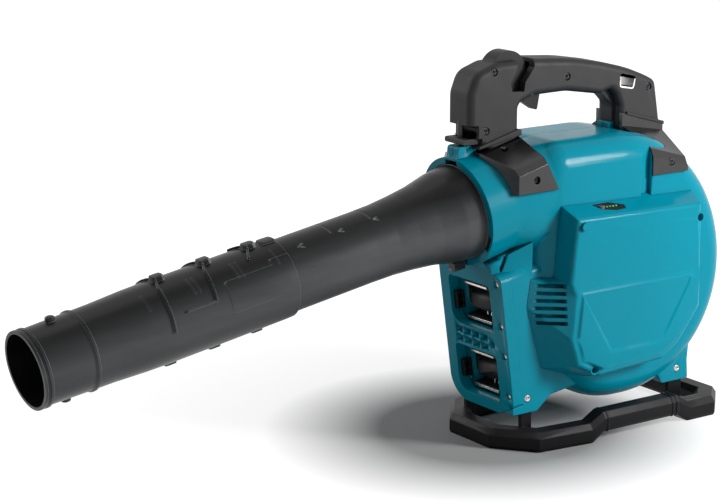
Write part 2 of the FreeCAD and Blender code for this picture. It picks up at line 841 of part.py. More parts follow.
def make_frame():
    frame = bay_block(0, 0, n.frame_deep)
    cuts = [window(index, 0, -1, n.frame_deep + 1, [5, 14, 5, 5]) for index in (0, 1)]
    low = window_middle(0) + n.window_high / 2 + 3
    high = window_middle(1) - n.window_high / 2 - 3
    rows = ((low, (low + high) / 2 - 1), ((low + high) / 2 + 1, high))
    for column in range(4):
        left = n.window_mid_y + n.window_wide / 2 - 1 - 13.5 * (column + 1)
        for bottom, top in rows:
            pocket = block((-1, left, bottom), (n.frame_deep - 4, left + 11.5, top))
            cuts.append(moved(pocket, bay_placement()))
    peg_hole = Part.makeCylinder(4, 12, V(-1, n.window_mid_y - 29, (low + high) / 2), V(1, 0, 0))
    cuts.append(moved(peg_hole, bay_placement()))
    cuts += [screw_hole(*seat) for seat in SCREWS["frame_screws"]]
    node("battery_frame", feature("battery_frame", frame.cut(cuts + [duct(0)])))


def make_terminals():
    """Terminal block and its contacts in each bay, seated on the bay's back wall."""
    for index, name in enumerate(("lower", "upper")):
        middle = s.window_low + s.window_high / 2 + index * s.bay_pitch - 3
        y = s.window_mid_y - 2 - s.block_wide / 2
        back = s.bay_depth
        wide = s.block_wide
        high = s.block_high
        blocks = [
            box(f"seat_{name}", (back - 10, y, middle - high / 2), (10, wide, high)),
            box(f"top_rail_{name}", (back - 22, y, middle + high / 2 - 4), (12, wide, 4)),
            box(f"low_rail_{name}", (back - 22, y, middle - high / 2), (12, wide, 5)),
            box(f"tongue_{name}", (back - 20, y + 5, middle - 7), (10, wide - 10, 14)),
        ]
        shield = box(f"shield_{name}", (back - 20, y - 6, middle - high / 2 - 3), (20, 3, high + 6))
        socket = box(f"socket_{name}", (back - 9, y + wide + 1.5, middle - 10), (9, 10.5, 22))
        holes = [
            box(f"socket_hole_{name}_{k}", (back - 10, y + wide + 4.5, middle - 7 + 9 * k), (5, 5, 5)) for k in (0, 1)
        ]
        socket = cut(f"drilled_socket_{name}", socket, fuse(f"socket_holes_{name}", holes))
        block_part = fuse(f"block_{name}", blocks)
        terminal = group(f"terminal_{name}", [block_part, shield, socket])
        node(f"terminal_{name}", place_in_bay(terminal))
        strips = [
            box(f"top_strip_{name}", (back - 23, y + 14, middle + high / 2 - 3), (1, wide - 14, 2)),
            box(f"low_strip_{name}", (back - 23, y + 11, middle - high / 2 + 1.5), (1, wide - 11, 2.5)),
        ]
        blades = [
            box(f"blade_{name}_{k}", (back - 20, y + 7 + 6 * k, middle - 10.5), (10, 1, 3)) for k in range(3)
        ]
        contacts = group(f"contacts_{name}", strips + blades)
        node(f"contacts_{name}", place_in_bay(contacts))


# ---------------------------------------------------------------- stand

def stand_section(x, y, lift, across):
    """Eight-sided section of the stand's bar at one corner of its path, in the plane that halves the corner.

    Where the bar rests on the ground the section starts 2 mm lower, and the ground plane trims it.
    """
    half = n.stand_wide / 2
    high = n.stand_high
    low = 0 if lift else -2
    shape = [(-half + 2, low), (half - 2, low), (half, 3), (half, high - 6), (half - 4, high),
             (-half + 4, high), (-half, high - 6), (-half, 3)]
    points = [V(x + a * across[0], y + a * across[1], lift + z) for a, z in shape]
    return Part.makePolygon(points + points[:1])


def stand_path():
    """Corners of the stand's bar on one side, from the middle of the front to the middle of the rear."""
    half = n.stand_half
    rear = n.stand_rear
    lift = n.stand_lift
    return [
        (0, -28, 0), (27, -half + 6, 0), (84, -half, 0), (100, -half, lift), (199, -half, lift),
        (215, -half, 0), (rear - 20, -half, 0), (rear, -half + 20, 0),
    ]


def stand_bracket(side):
    """Arm from the stand's side bar to its rear screw tab."""
    low, high = sorted((side * (n.bay_half - n.leg_thick / 2 - n.tab_thick / 2), side * (n.stand_half - 6)))
    return block((213.5, low, 4), (231, high, 16))


def make_stand():
    one_side = stand_path()
    other = [(x, -y, z) for x, y, z in reversed(one_side)]
    path = one_side + other
    count = len(path)
    wires = []
    for i, (x, y, lift) in enumerate(path):
        before = path[i - 1]
        after = path[(i + 1) % count]
        way_in = V(x - before[0], y - before[1], 0).normalize()
        way_out = V(after[0] - x, after[1] - y, 0).normalize()
        side = V(way_in.y + way_out.y, -way_in.x - way_out.x, 0)
        side = side * (2 / side.Length ** 2)
        wires.append(stand_section(x, y, lift, (side.x, side.y)))
    spans = [loft(wires[i], wires[(i + 1) % count]) for i in range(count)]
    tabs = [tab_block(span, top, side) for _, span, top in LEGS for side in SIDES]
    tabs += [stand_bracket(side) for side in SIDES]
    holes = [screw_hole(*seat) for seat in SCREWS["stand_screws"]]
    below = block((-100, -200, -10), (400, 200, 0))
    stand = spans[0].fuse(spans[1:] + tabs).removeSplitter().cut([below] + holes)
    node("stand", feature("stand", biggest(stand)))


# ---------------------------------------------------------------- handle

HANDLE = [
    (4, -12, 11), (-12, -2, 3), (-28, 2, 6), (-28, 50, 22), (-20, 70, 18), (4, 78, 20), (50, 79, 100),
    (97, 75.5, 200), (136, 69, 200), (172, 60, 200), (198, 50, 150), (210, 44, 9), (218, 0, 60),
    (226, -56, 11), (162.5, -40, 3), (162.5, 22, 8), (157, 34, 5), (151, 40, 5), (137, 36, 12), (94, 43, 60),
    (52, 42.5, 8), (33, 36, 8), (33, -14, 11),
]
WEB = above_roof([(160, -40), (159.5, 23), (147, 35), (135, 42), (150, 50), (172, 40), (172, -40)])
GROOVE = above_roof([(34, 94), (52, 94), (50, 71), (39, 57), (38, 48), (23, 49), (21, 57), (28, 69)])
GROOVE_WALLS = above_roof([(30, 90), (52, 90), (54, 70), (43, 56), (41, 45), (20, 46), (18, 57), (24, 70)])
FRONT_LIP = above_roof([(-18, -3.4), (-18, -0.4), (30, 12.3), (34, 11.5), (34, 6)])
REAR_LIP = above_roof([(169.5, 15.9), (220, 1.5), (220, -2), (169.5, 12.5)])
STRAP_SLOT = above_roof([(160.5, 41), (179, 37.5), (182, 50.5), (160.5, 55.5)])


def handle_outline(distance):
    points = inset(above_roof([(x, up) for x, up, _ in HANDLE]), distance)
    return points, [max(radius - distance, 3) for _, _, radius in HANDLE]


def handle_solid():
    """Handle with the lips at its two feet, the web inside its rear leg and the chin under its notch."""
    points, radii = handle_outline(0)
    half = n.grip_half
    solid = prism(points, radii, "y", -half, half)
    solid = solid.makeFillet(n.grip_edge, rim_edges(solid))
    under_notch = prism(above_roof([(-60, -20), (-13, -20), (-13, 7), (-60, 7)]), 0, "y", -half - 1, half + 1)
    chin = prism(above_roof([(-33, 1.5), (-10, 1.5), (-10, 7.5), (-33, 7.5)]), [2, 0, 0, 2.5], "y", -15, 15)
    pieces = [prism(WEB, [0, 12, 12, 3, 3, 3, 0], "y", -n.web_half, n.web_half), chin]
    for lip in (FRONT_LIP, REAR_LIP):
        band = prism(lip, 0, "y", -half - 2.2, half + 2.2)
        pieces.append(band.makeFillet(1, rim_edges(band)))
    return solid.cut(under_notch).fuse(pieces)


def handle_cuts():
    """Slots for lever, trigger and straps, the groove behind the head and the pins' holes."""
    half = n.grip_half
    lever_reach = n.lever_half + n.fit_gap
    trigger_reach = n.trigger_half + n.fit_gap
    pin_reach = half - 2
    roof = roof_height()
    notch = above_roof([(-60, 7), (-17, 7), (-17, 20), (-60, 20)])
    return [
        prism(GROOVE, 1, "y", -half - 1, half + 1),
        prism(notch, 2, "y", -half - 1, half + 1),
        prism(STRAP_SLOT, 3, "y", -half - 1, half + 1),
        cylinder(n.lever_r + 0.5, 2 * lever_reach, (n.lever_x, -lever_reach, roof + n.lever_up), (0, 1, 0)),
        block((43, -trigger_reach, roof + 23), (75, trigger_reach, roof + 52)),
        cylinder(n.pin_r, 2 * pin_reach, (n.trigger_x, -pin_reach, roof + n.trigger_up), (0, 1, 0)),
        cylinder(n.pin_r, 2 * pin_reach, (n.lever_x, -pin_reach, roof + n.lever_up), (0, 1, 0)),
        cylinder(n.strap_pin_r, 22, (STRAP_PIN_X, 0, roof + 2), (0, 0, 1)),
    ]


def groove_walls(solid):
    """Walls round the groove behind the head, and the bosses that carry the lever's pin."""
    low = n.lever_half + 1
    walls = [prism(GROOVE_WALLS, 1, "y", *sorted((side * low, side * (n.grip_half - 2)))) for side in SIDES]
    at = (n.lever_x - 3, roof_height() + n.lever_up)
    walls += [cylinder(6, n.grip_half - 2 - low, (at[0], side * low, at[1]), (0, side, 0)) for side in SIDES]
    return [wall.common(solid) for wall in walls]


def make_handle(outside):
    solid = handle_solid()
    points, radii = handle_outline(n.grip_wall)
    room = n.grip_half - n.grip_wall
    posts = [Part.makeCylinder(4, 2 * n.grip_half - 2, V(seat.x, 1 - n.grip_half, seat.z), V(0, 1, 0))
             for seat, _ in SCREWS["handle_screws"]]
    hollow = prism(points, radii, "y", -room, room)
    shell = solid.cut(hollow).fuse(posts + groove_walls(solid))
    shell = shell.cut([outside] + handle_cuts() + [screw_hole(*seat) for seat in SCREWS["handle_screws"]])
    for name, side in (("handle_left", -1), ("handle_right", 1)):
        node(name, feature(name, biggest(shell.common(half_space(side)))))
    return solid


SADDLES = {
    "front": {
        "sections": ((-20, 294, 279, 272), (55, 312.5, 297, 290.5)),
        "side": [(-22, 259), (49.5, 259), (41, 275), (35, 286), (33, 298), (30, 330), (-22, 330)],
        "plan": [(-17, 10), (-16, 18.5), (0, 60), (0, 70), (60, 70), (60, 10)],
    },
    "rear": {
        "sections": ((160, 305.5, 289.5, 281), (218, 295.8, 272.5, 262.5)),
        "side": [(150, 258.5), (218, 258.5), (218, 330), (150, 330)],
        "plan": [(162, 10), (164, 18.5), (171, 44.5), (171, 70), (230, 70), (230, 10)],
    },
}
SADDLE_RECESS = (8, 26, 294.3)
REAR_NECK = above_roof([(163.5, -8), (163.5, 15), (218.5, -1), (218.5, -12)])


def saddle_section(x, top, fold, edge):
    """Half of a saddle's section across the machine: a slope from the handle, a bevel and an upright side."""
    outer = n.scroll_half + n.saddle
    half = n.grip_half
    points = [(8, top + 1), (half, top), (outer - 5, fold), (outer, edge), (outer, 240), (8, 240)]
    return rounded_wire(points, 0, "x", x)


def make_saddles(outside, handle):
    """Glossy saddles that clamp the handle's two ends to the housing, one on each side of each end."""
    holes = [screw_hole(*seat) for seat in SCREWS["foot_screws"]]
    for end, shape in SADDLES.items():
        saddle = loft(*(saddle_section(*section) for section in shape["sections"]))
        saddle = saddle.common(prism(shape["side"], 0, "y", 0, 80)).common(prism(shape["plan"], 0, "z", 200, 340))
        if end == "rear":
            saddle = saddle.fuse(prism(REAR_NECK, 0, "y", 12, n.grip_half + 1.5))
        else:
            saddle = saddle.cut(cylinder(3.6, 30, SADDLE_RECESS, (0, 0, 1)))
        for name, side in (("right", 1), ("left", -1)):
            placed = saddle if side > 0 else saddle.mirror(V(0, 0, 0), V(0, 1, 0))
            label = f"saddle_{end}_{name}"
            node(label, feature(label, biggest(placed.cut([outside, handle] + holes))))


STRAP_PIN_X = -25.5


def make_strap_parts():
    """Strap pin in the front notch, and the steel lining of the rear slot."""
    node("strap_pin", rod_z("strap_pin", STRAP_PIN_X, 0, roof_height(s) + 2, s.strap_pin_r, 22))
    half = n.grip_half
    lining = prism(STRAP_SLOT, 3, "y", -half, half).cut(prism(inset(STRAP_SLOT, 1.6), 2, "y", -half - 1, half + 1))
    roof = roof_height()
    lining = lining.cut(block((150, -half - 1, roof + 48), (200, half + 1, roof + 63)))
    node("strap_liner", feature("strap_liner", biggest(lining)))


TRIGGER = [(44, 41), (47, 36), (65, 25), (68, 41), (74, 43), (74, 50), (54, 53), (44, 50)]


def make_trigger():
    """Trigger on its pin, with the return spring and the switch above it."""
    half = n.trigger_half
    roof = roof_height(s)
    pivot_z = roof + s.trigger_up
    shape = prism(above_roof(TRIGGER), [2, 3, 2, 1, 1, 2, 2, 3], "y", -half, half)
    bore = cylinder(n.pin_r + n.pin_gap, 2 * half + 2, (n.trigger_x, -half - 1, float(pivot_z)), (0, 1, 0))
    node("trigger", feature("trigger", shape.cut(bore)))
    pin_start = 2 - s.grip_half
    pin_length = 2 * s.grip_half - 4
    node("trigger_pin", rod_y("trigger_pin", s.trigger_x, pin_start, pivot_z, s.pin_r, pin_length))
    inner = s.grip_half - s.grip_wall
    case = box("switch_case", (62, -8, roof + 61), (22, inner + 8, 10))
    plunger = box("switch_plunger", (72, -2, roof + 58), (4, 4, 3))
    node("trigger_switch", fuse("trigger_switch", [case, plunger]))
    coil = doc.addObject("Part::Helix", "spring_path")
    coil.Pitch = 2.1
    coil.Height = 8.4
    coil.Radius = 2.4
    coil.SegmentLength = 0
    wire = doc.addObject("Part::Circle", "spring_wire")
    wire.Radius = 0.35
    place(wire, 2.4, 0, 0, (1, 0, 0), 90)
    spring = doc.addObject("Part::Sweep", "trigger_spring")
    spring.Sections = [wire]
    spring.Spine = (coil, ["Edge1"])
    spring.Solid = True
    spring.Frenet = True
    node("trigger_spring", place(spring, 66, 0, roof + 52.2))


def make_lever():
    """Speed lever: a round cam whose top stands proud of the handle's head."""
    half = s.lever_half
    axis_z = roof_height(s) + s.lever_up
    disc = rod_y("lever_disc", s.lever_x, -half, axis_z, s.lever_r, 2 * half)
    bore = rod_y("lever_bore", s.lever_x, -half - 1, axis_z, s.pin_r + s.pin_gap, 2 * half + 2)
    node("speed_lever", cut("speed_lever", disc, bore))
    node("lever_pin", rod_y("lever_pin", s.lever_x, 2 - s.grip_half, axis_z, s.pin_r, 2 * s.grip_half - 4))


# ---------------------------------------------------------------- motor and fan

def turned_part(name, corners, y=0):
    """Round part on the fan's axis, from corners of (radius, place along +Y)."""
    body = doc.addObject("PartDesign::Body", name)
    turn(body, name + "_turn", corners)
    place(body, s.fan_x, y, s.fan_z, (1, 0, 0), -90)
    return node(name, body)


def make_motor():
    inner = s.scroll_half - s.wall
    bearing = s.bearing_r
    cup = s.stator_r + 3
    turned_part("motor_mount", [
        (s.mount_r, -inner), (s.mount_r, 4 - inner), (cup, 4 - inner), (cup, 4), (bearing, 4),
        (bearing, 4 - s.bearing_wide), (bearing - 3, 4 - s.bearing_wide), (bearing - 3, 2 - s.bearing_wide),
        (bearing + 3, 2 - s.bearing_wide), (bearing + 3, 0), (s.stator_r, 0), (s.stator_r, -inner),
    ])
    bore = s.shaft_r + s.shaft_gap
    turned_part("bearing_front", [
        (bore, 4 - s.bearing_wide), (bearing, 4 - s.bearing_wide), (bearing, 4), (bore, 4)])
    cap_inner = s.cap_bearing_r
    seat = 2 - inner - 4
    turned_part("motor_cap", [
        (s.stator_r + 6, -inner), (cap_inner + 4, -inner), (cap_inner + 4, seat + s.bearing_wide),
        (cap_inner, seat + s.bearing_wide), (cap_inner, seat), (cap_inner - 3, seat), (cap_inner - 3, -inner - 4),
        (s.stator_r + 6, -inner - 4),
    ])
    turned_part("bearing_rear", [
        (bore, seat), (cap_inner, seat), (cap_inner, seat + s.bearing_wide), (bore, seat + s.bearing_wide)])
    turned_part("motor_stator", [
        (s.rotor_r + s.air_gap, -44), (s.stator_r, -44), (s.stator_r, -8), (s.rotor_r + s.air_gap, -8)])
    rings = []
    for index, y in enumerate((-49, -8)):
        ring = rod_y(f"winding_{index}", s.fan_x, y, s.fan_z, s.stator_r - 3, 5)
        hole = rod_y(f"winding_hole_{index}", s.fan_x, y - 1, s.fan_z, s.rotor_r + s.air_gap + 2, 7)
        rings.append(cut(f"winding_ring_{index}", ring, hole))
    node("motor_windings", group("motor_windings", rings))
    turned_part("motor_rotor", [(s.shaft_r, -43), (s.rotor_r, -43), (s.rotor_r, -9), (s.shaft_r, -9)])
    turned_part("motor_shaft", [(0, seat), (s.shaft_r, seat), (s.shaft_r, 40), (0, 40)])


def make_impeller():
    """Fan wheel: hub and back plate, curved-back blades and the shroud that joins them round the eye."""
    body = doc.addObject("PartDesign::Body", "impeller")
    hub = 14
    floor = 3
    rim = s.scroll_r - s.wall - s.scroll_step - s.cutoff_gap
    turn(body, "wheel", [
        (s.shaft_r, 0), (rim, 0), (rim, floor), (hub, floor), (hub, 24), (s.shaft_r, 24)])
    blade = [(hub - 1, 0), (hub + 1, -3), (rim * 0.62, rim * 0.29), (rim * 0.82, rim * 0.54),
             (rim * 0.80, rim * 0.555), (rim * 0.60, rim * 0.305)]
    doc.recompute()
    blades = pad(body, "blade", "XY_Plane", blade, s.blade_high, offset=floor)
    doc.recompute()
    ring_of(body, "blade_ring", blades, s.blades)
    top = floor + s.blade_high
    turn(body, "shroud", [(s.eye_r, top), (rim, top), (rim, top + 2.5), (s.eye_r, top + 2.5)])
    place(body, s.fan_x, s.impeller_y, s.fan_z, (1, 0, 0), -90)
    node("impeller", body)
    nut = primitive("Prism", "nut_blank", (s.fan_x, s.impeller_y + 24, s.fan_z, (1, 0, 0), -90),
                    Polygon=6, Circumradius=9, Height=6)
    bore = rod_y("nut_bore", s.fan_x, s.impeller_y + 20, s.fan_z, s.shaft_r, 14)
    node("impeller_nut", cut("impeller_nut", nut, bore))


# ---------------------------------------------------------------- air intake

def make_intake():
    """Intake ring in the right wall, and the hinged inlet cover with its pin and knob."""
    seat = n.scroll_half
    ring = n.ring_thick
    x, z = n.fan_x, n.fan_z
    hinge_y = seat + ring + n.knuckle_r
    snout = cylinder(n.intake_hole_r, 8, (x, seat - 8, z), (0, 1, 0))
    flange = cylinder(n.ring_r, ring, (x, seat, z), (0, 1, 0))
    bore = cylinder(n.intake_r, ring + 12, (x, seat - 10, z), (0, 1, 0))
    bell = Part.makeCone(n.intake_r, n.intake_r + 6, 6.01, V(x, seat + ring - 6, z), V(0, 1, 0))
    ears = []
    for low, high in ((-22, -8), (8, 22)):
        ears.append(cylinder(n.knuckle_r, high - low, (n.hinge_x, hinge_y, z + low), (0, 0, 1)))
        ears.append(block((n.hinge_x - n.knuckle_r, seat, z + low), (n.hinge_x + 12, hinge_y - n.knuckle_r, z + high)))
        ears.append(block((n.hinge_x - n.knuckle_r, seat, z + low), (n.hinge_x + 3, hinge_y, z + high)))
    pin = cylinder(n.hinge_r, 44, (n.hinge_x, hinge_y, z - 22), (0, 0, 1))
    knob_x = x + 66
    socket = cylinder(3.6, ring + 2, (knob_x, seat - 1, z), (0, 1, 0))
    body = flange.fuse([snout] + ears).cut([bore, bell, pin, socket, skin(0).cut(snout)])
    node("intake_ring", feature("intake_ring", biggest(body)))
    node("hinge_pin", feature("hinge_pin", pin))

    foot = seat + ring + n.fit_gap
    top = foot + n.cover_thick
    disc = cylinder(n.cover_r, n.cover_thick, (x, foot, z), (0, 1, 0))
    disc = disc.makeFillet(4, [e for e in rim_edges(disc) if e.BoundBox.YMin > foot + 1])
    knuckle = cylinder(n.knuckle_r, 15.4, (n.hinge_x, hinge_y, z - 7.7), (0, 0, 1))
    arm = block((n.hinge_x, hinge_y, z - 7.7), (n.hinge_x + 14, hinge_y + n.knuckle_r, z + 7.7))
    openings = grille_slots(foot, top)
    pin_room = cylinder(n.hinge_r + n.pin_gap, 46, (n.hinge_x, hinge_y, z - 23), (0, 0, 1))
    knob_room = cylinder(3.3, 40, (knob_x, seat, z), (0, 1, 0))
    cover = disc.fuse([knuckle, arm]).cut(openings + [pin_room, knob_room])
    node("inlet_cover", feature("inlet_cover", biggest(cover)))

    head = cylinder(n.knob_r, 11, (knob_x, top + n.fit_gap, z), (0, 1, 0))
    head = head.makeFillet(1.5, [e for e in rim_edges(head) if e.BoundBox.YMin > top + 3])
    flutes = []
    for index in range(12):
        angle = math.radians(30 * index)
        at = (knob_x + (n.knob_r + 1) * math.cos(angle), top, z + (n.knob_r + 1) * math.sin(angle))
        flutes.append(cylinder(2, 20, at, (0, 1, 0)))
    stem = cylinder(3, top + n.fit_gap - seat - 3, (knob_x, seat + 3, z), (0, 1, 0))
    node("cover_knob", feature("cover_knob", head.cut(flutes).fuse(stem)))


def grille_slots(foot, top):
    """Level slots across the inlet cover, each as long as the chord it lies on."""
    slots = []
    reach = n.intake_r
    for index in range(-5, 6):
        height = 9.2 * index
        half = math.sqrt(reach ** 2 - height ** 2)
        for side in SIDES:
            low, high = sorted((side * 2.5, side * half))
            slots.append(block((n.fan_x + low, foot - 1, n.fan_z + height - 2.6),
                               (n.fan_x + high, top + 1, n.fan_z + height + 2.6)))
    return slots


# ---------------------------------------------------------------- nozzle

def make_nozzle():
    """Flared cone with its spigot and inner tube, and the sleeve that slides on the tube."""
    body = doc.addObject("PartDesign::Body", "nozzle_rear")
    spigot = s.spigot_r
    tube = s.tube_r
    wall = s.tube_wall
    flare = ((0.0, 0.96), (0.21, 0.80), (0.46, 0.40), (0.70, 0.18), (0.93, 0.04))
    outer = [(tube + (spigot - tube) * share, s.cone_len * part) for part, share in flare]
    inner = [(radius - wall, along) for radius, along in reversed(outer)]
    corners = [(spigot - wall, -s.spigot_len), (spigot, -s.spigot_len), (spigot, 0)] + outer
    corners += [(tube, s.cone_len + 18), (tube, s.tube_end), (tube - wall, s.tube_end), (tube - wall, s.cone_len + 18)]
    turn(body, "cone", corners + inner)
    doc.recompute()
    reach = lug_radius()
    lug = pad(body, "lug", "XY_Plane", [
        (-reach, -6), (1 - spigot, -6), (1 - spigot, 6), (-reach, 6)], 6, offset=-(s.lip + 7))
    doc.recompute()
    ring_of(body, "lugs", lug, 3)
    place_on_nozzle(body)
    body.Placement = body.Placement.multiply(FreeCAD.Placement(V(0, 0, 0), FreeCAD.Rotation(V(0, 0, 1), 90)))
    body.setExpression("Placement.Rotation.Angle", None)
    node("nozzle_rear", body)

    bore = tube + s.fit_gap
    start = s.sleeve_start
    wide = start + s.grip_len
    end = start + s.sleeve_len
    sleeve = doc.addObject("PartDesign::Body", "nozzle_front")
    turn(sleeve, "sleeve", [
        (bore, start), (bore + wall, start), (bore + wall + 0.6, start + 40), (bore + wall + 0.3, wide),
        (tube + 1.2, wide + 30), (tube + 1, end - 28), (tube + 2.2, end - 28), (tube + 2.2, end - 24),
        (tube + 1, end - 24), (tube + 0.2, end - 11), (tube + 1.4, end - 11), (tube + 1.4, end - 7),
        (s.tip_r + 1.6, end - 7), (s.tip_r + 1.6, end), (s.tip_r, end), (s.tip_r, wide + 20), (bore, wide + 6),
    ])
    node("nozzle_front", place_on_nozzle(sleeve))


def make_latch():
    """Release latch under the cone: a thumb block with a stem that runs into the mouth's lip."""
    up = n.spigot_r + 0.4
    thumb = prism([(-up - 9, -5), (-up, -5), (-up, 5), (-up - 9, 5)], [2.5, 1, 1, 2.5], "z", 3, 16)
    stem = cylinder(2, n.lip + 1, (-LATCH_UP, 0, 2.5 - n.lip), (0, 0, 1))
    node("nozzle_latch", feature("nozzle_latch", moved(thumb.fuse(stem), nozzle_placement())))


# ---------------------------------------------------------------- whole machine

def build():
    outside = make_housing()
    make_motor_cover(outside)
    make_panel()
    make_board()
    make_frame()
    make_terminals()
    make_stand()
    handle = make_handle(outside)
    make_saddles(outside, handle)
    make_strap_parts()
    make_trigger()
    make_lever()
    make_motor()
    make_impeller()
    make_intake()
    make_nozzle()
    make_latch()
    make_screws()
    doc.recompute()


def check():
    """Stops with a message if an object failed or a sub-part is not a valid solid."""
    failed = [o.Name for o in doc.Objects if {"Invalid", "Error"} & set(o.State)]
    if failed:
        raise RuntimeError(f"these objects failed: {failed}")
    for obj in NODES:
        shape = obj.Shape
        if shape.isNull() or not shape.isValid() or not shape.Solids:
            raise RuntimeError(f"{obj.Label} has no valid solid")


def write():
    os.makedirs("parts", exist_ok=True)
    for obj in NODES:
        obj.Shape.exportStep(f"parts/{obj.Label}.step")
        print(f"{obj.Label:18s} {len(obj.Shape.Solids)} solid(s) {obj.Shape.Volume / 1000:9.2f} cm3")


build()
check()
write()
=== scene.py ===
"""Looks of a cordless leaf blower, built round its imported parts.

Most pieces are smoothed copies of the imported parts. The nozzle, the bands on the stand and the catches in
the battery bays are surfaces worked out here. Lengths in the shapes are in millimetres.
"""

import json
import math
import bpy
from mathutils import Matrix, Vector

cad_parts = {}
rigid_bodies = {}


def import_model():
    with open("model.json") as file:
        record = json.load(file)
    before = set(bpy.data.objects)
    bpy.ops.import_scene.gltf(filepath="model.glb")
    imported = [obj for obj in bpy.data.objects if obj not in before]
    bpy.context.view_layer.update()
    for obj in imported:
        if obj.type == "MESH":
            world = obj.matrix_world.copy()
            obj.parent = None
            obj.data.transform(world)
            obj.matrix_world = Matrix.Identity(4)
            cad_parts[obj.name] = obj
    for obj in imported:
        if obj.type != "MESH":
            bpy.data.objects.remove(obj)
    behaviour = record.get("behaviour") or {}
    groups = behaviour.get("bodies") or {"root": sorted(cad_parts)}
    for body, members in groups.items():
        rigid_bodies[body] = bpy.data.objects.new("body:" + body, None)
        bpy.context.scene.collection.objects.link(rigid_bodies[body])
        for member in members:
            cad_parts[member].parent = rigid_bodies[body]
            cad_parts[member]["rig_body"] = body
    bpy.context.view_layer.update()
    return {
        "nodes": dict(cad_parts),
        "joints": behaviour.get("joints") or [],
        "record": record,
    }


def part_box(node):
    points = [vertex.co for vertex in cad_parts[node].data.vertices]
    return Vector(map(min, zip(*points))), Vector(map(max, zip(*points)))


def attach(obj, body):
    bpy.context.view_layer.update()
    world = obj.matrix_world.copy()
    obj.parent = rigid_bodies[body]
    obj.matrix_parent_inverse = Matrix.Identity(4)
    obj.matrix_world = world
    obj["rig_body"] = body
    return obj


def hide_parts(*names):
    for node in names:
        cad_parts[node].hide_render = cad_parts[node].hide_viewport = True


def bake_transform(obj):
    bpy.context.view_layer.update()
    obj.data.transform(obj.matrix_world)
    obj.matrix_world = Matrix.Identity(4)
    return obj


bl_info = {
    "name": "Leaf blower looks",
    "version": (1, 0, 0),
    "blender": (4, 5, 0),
    "location": "3D View > Sidebar > Leaf blower",
    "description": "Makes the pieces and finishes of a cordless leaf blower round its packed parts",
    "category": "Object",
}

import bmesh
import bpy
import numpy as np
from bpy.props import FloatProperty, FloatVectorProperty, PointerProperty

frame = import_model()
SLOT_OF = {row["node"]: row["material_slot"] for row in frame["record"]["subparts"]}
MM = 0.001

TWIST = next(row for row in frame["joints"] if row["name"] == "nozzle_twist")
MOUTH = np.array(TWIST["pos_m"])          # middle of the duct's mouth
TIPWARD = np.array(TWIST["axis"])         # from the mouth to the nozzle's tip
TIPWARD = TIPWARD / np.linalg.norm(TIPWARD)
ACROSS = np.array([0.0, 1.0, 0.0])
UPWARD = np.cross(ACROSS, TIPWARD)


# ---------------------------------------------------------------- sizes and colours

def tint(name, description, default):
    """A property that holds a linear colour."""
    return FloatVectorProperty(name=name, description=description, subtype="COLOR", size=3, min=0, max=1,
                               default=default)


def length(name, description, default):
    """A property that holds a length in metres."""
    return FloatProperty(name=name, description=description, subtype="DISTANCE", unit="LENGTH", min=0,
                         default=default, precision=5)


class BlowerColours(bpy.types.PropertyGroup):
    """Colours of the finishes."""

    shell: tint("Casing", "Teal of the casing, the motor cover and the bay frame", (0.0, 0.300, 0.415))
    nozzle: tint("Nozzle", "Satin black of the nozzle", (0.0070, 0.0073, 0.0076))
    handle: tint("Handle", "Dark grey of the soft handle", (0.016, 0.015, 0.017))
    saddle: tint("Saddles", "Gloss black of the saddles", (0.006, 0.006, 0.007))
    stand: tint("Stand", "Matte black of the stand", (0.007, 0.007, 0.008))
    plastic: tint("Black plastic", "Small black mouldings", (0.009, 0.009, 0.010))
    button: tint("Button", "Grey rubber of the check button", (0.14, 0.14, 0.15))
    board: tint("Board", "Lacquer of the circuit board", (0.01, 0.12, 0.04))
    lamp: tint("Lamps", "Lenses of the charge lamps", (0.10, 0.55, 0.12))
    steel: tint("Steel", "Zinc-plated steel", (0.58, 0.58, 0.57))
    dark_steel: tint("Dark steel", "Black-oxide steel of the casing's screws", (0.045, 0.045, 0.050))
    contact: tint("Contacts", "Plated contacts", (0.72, 0.70, 0.64))
    cast: tint("Cast metal", "Cast aluminium of the motor", (0.56, 0.57, 0.59))
    copper: tint("Copper", "Enamelled copper wire", (0.62, 0.24, 0.09))
    floor: tint("Floor", "Pale floor", (0.46, 0.46, 0.46))


class BlowerSizes(bpy.types.PropertyGroup):
    """Sizes of the worked-out pieces."""

    sleeve_start: length("Sleeve start", "Rear edge of the sleeve, from the duct's mouth", 0.211)
    sleeve_end: length("Sleeve end", "Tip of the nozzle, from the duct's mouth", 0.474)
    sleeve_bore: length("Sleeve bore", "Bore of the sleeve's wide part", 0.0353)
    tip_bore: length("Tip bore", "Bore of the nozzle's tip", 0.0334)
    rib: length("Rib", "Width of the ribs on the sleeve", 0.0018)
    lens: FloatProperty(name="Lens", description="Focal length of the camera in millimetres", unit="CAMERA",
                        min=1.0, default=110.0)


# ---------------------------------------------------------------- shader maths

def plug(tree, socket, value):
    """Links a wire to a socket, or sets the socket's own value."""
    if isinstance(value, Wire):
        tree.links.new(value.socket, socket)
    elif socket.type == "RGBA":
        socket.default_value = (*value, 1.0)
    else:
        socket.default_value = value


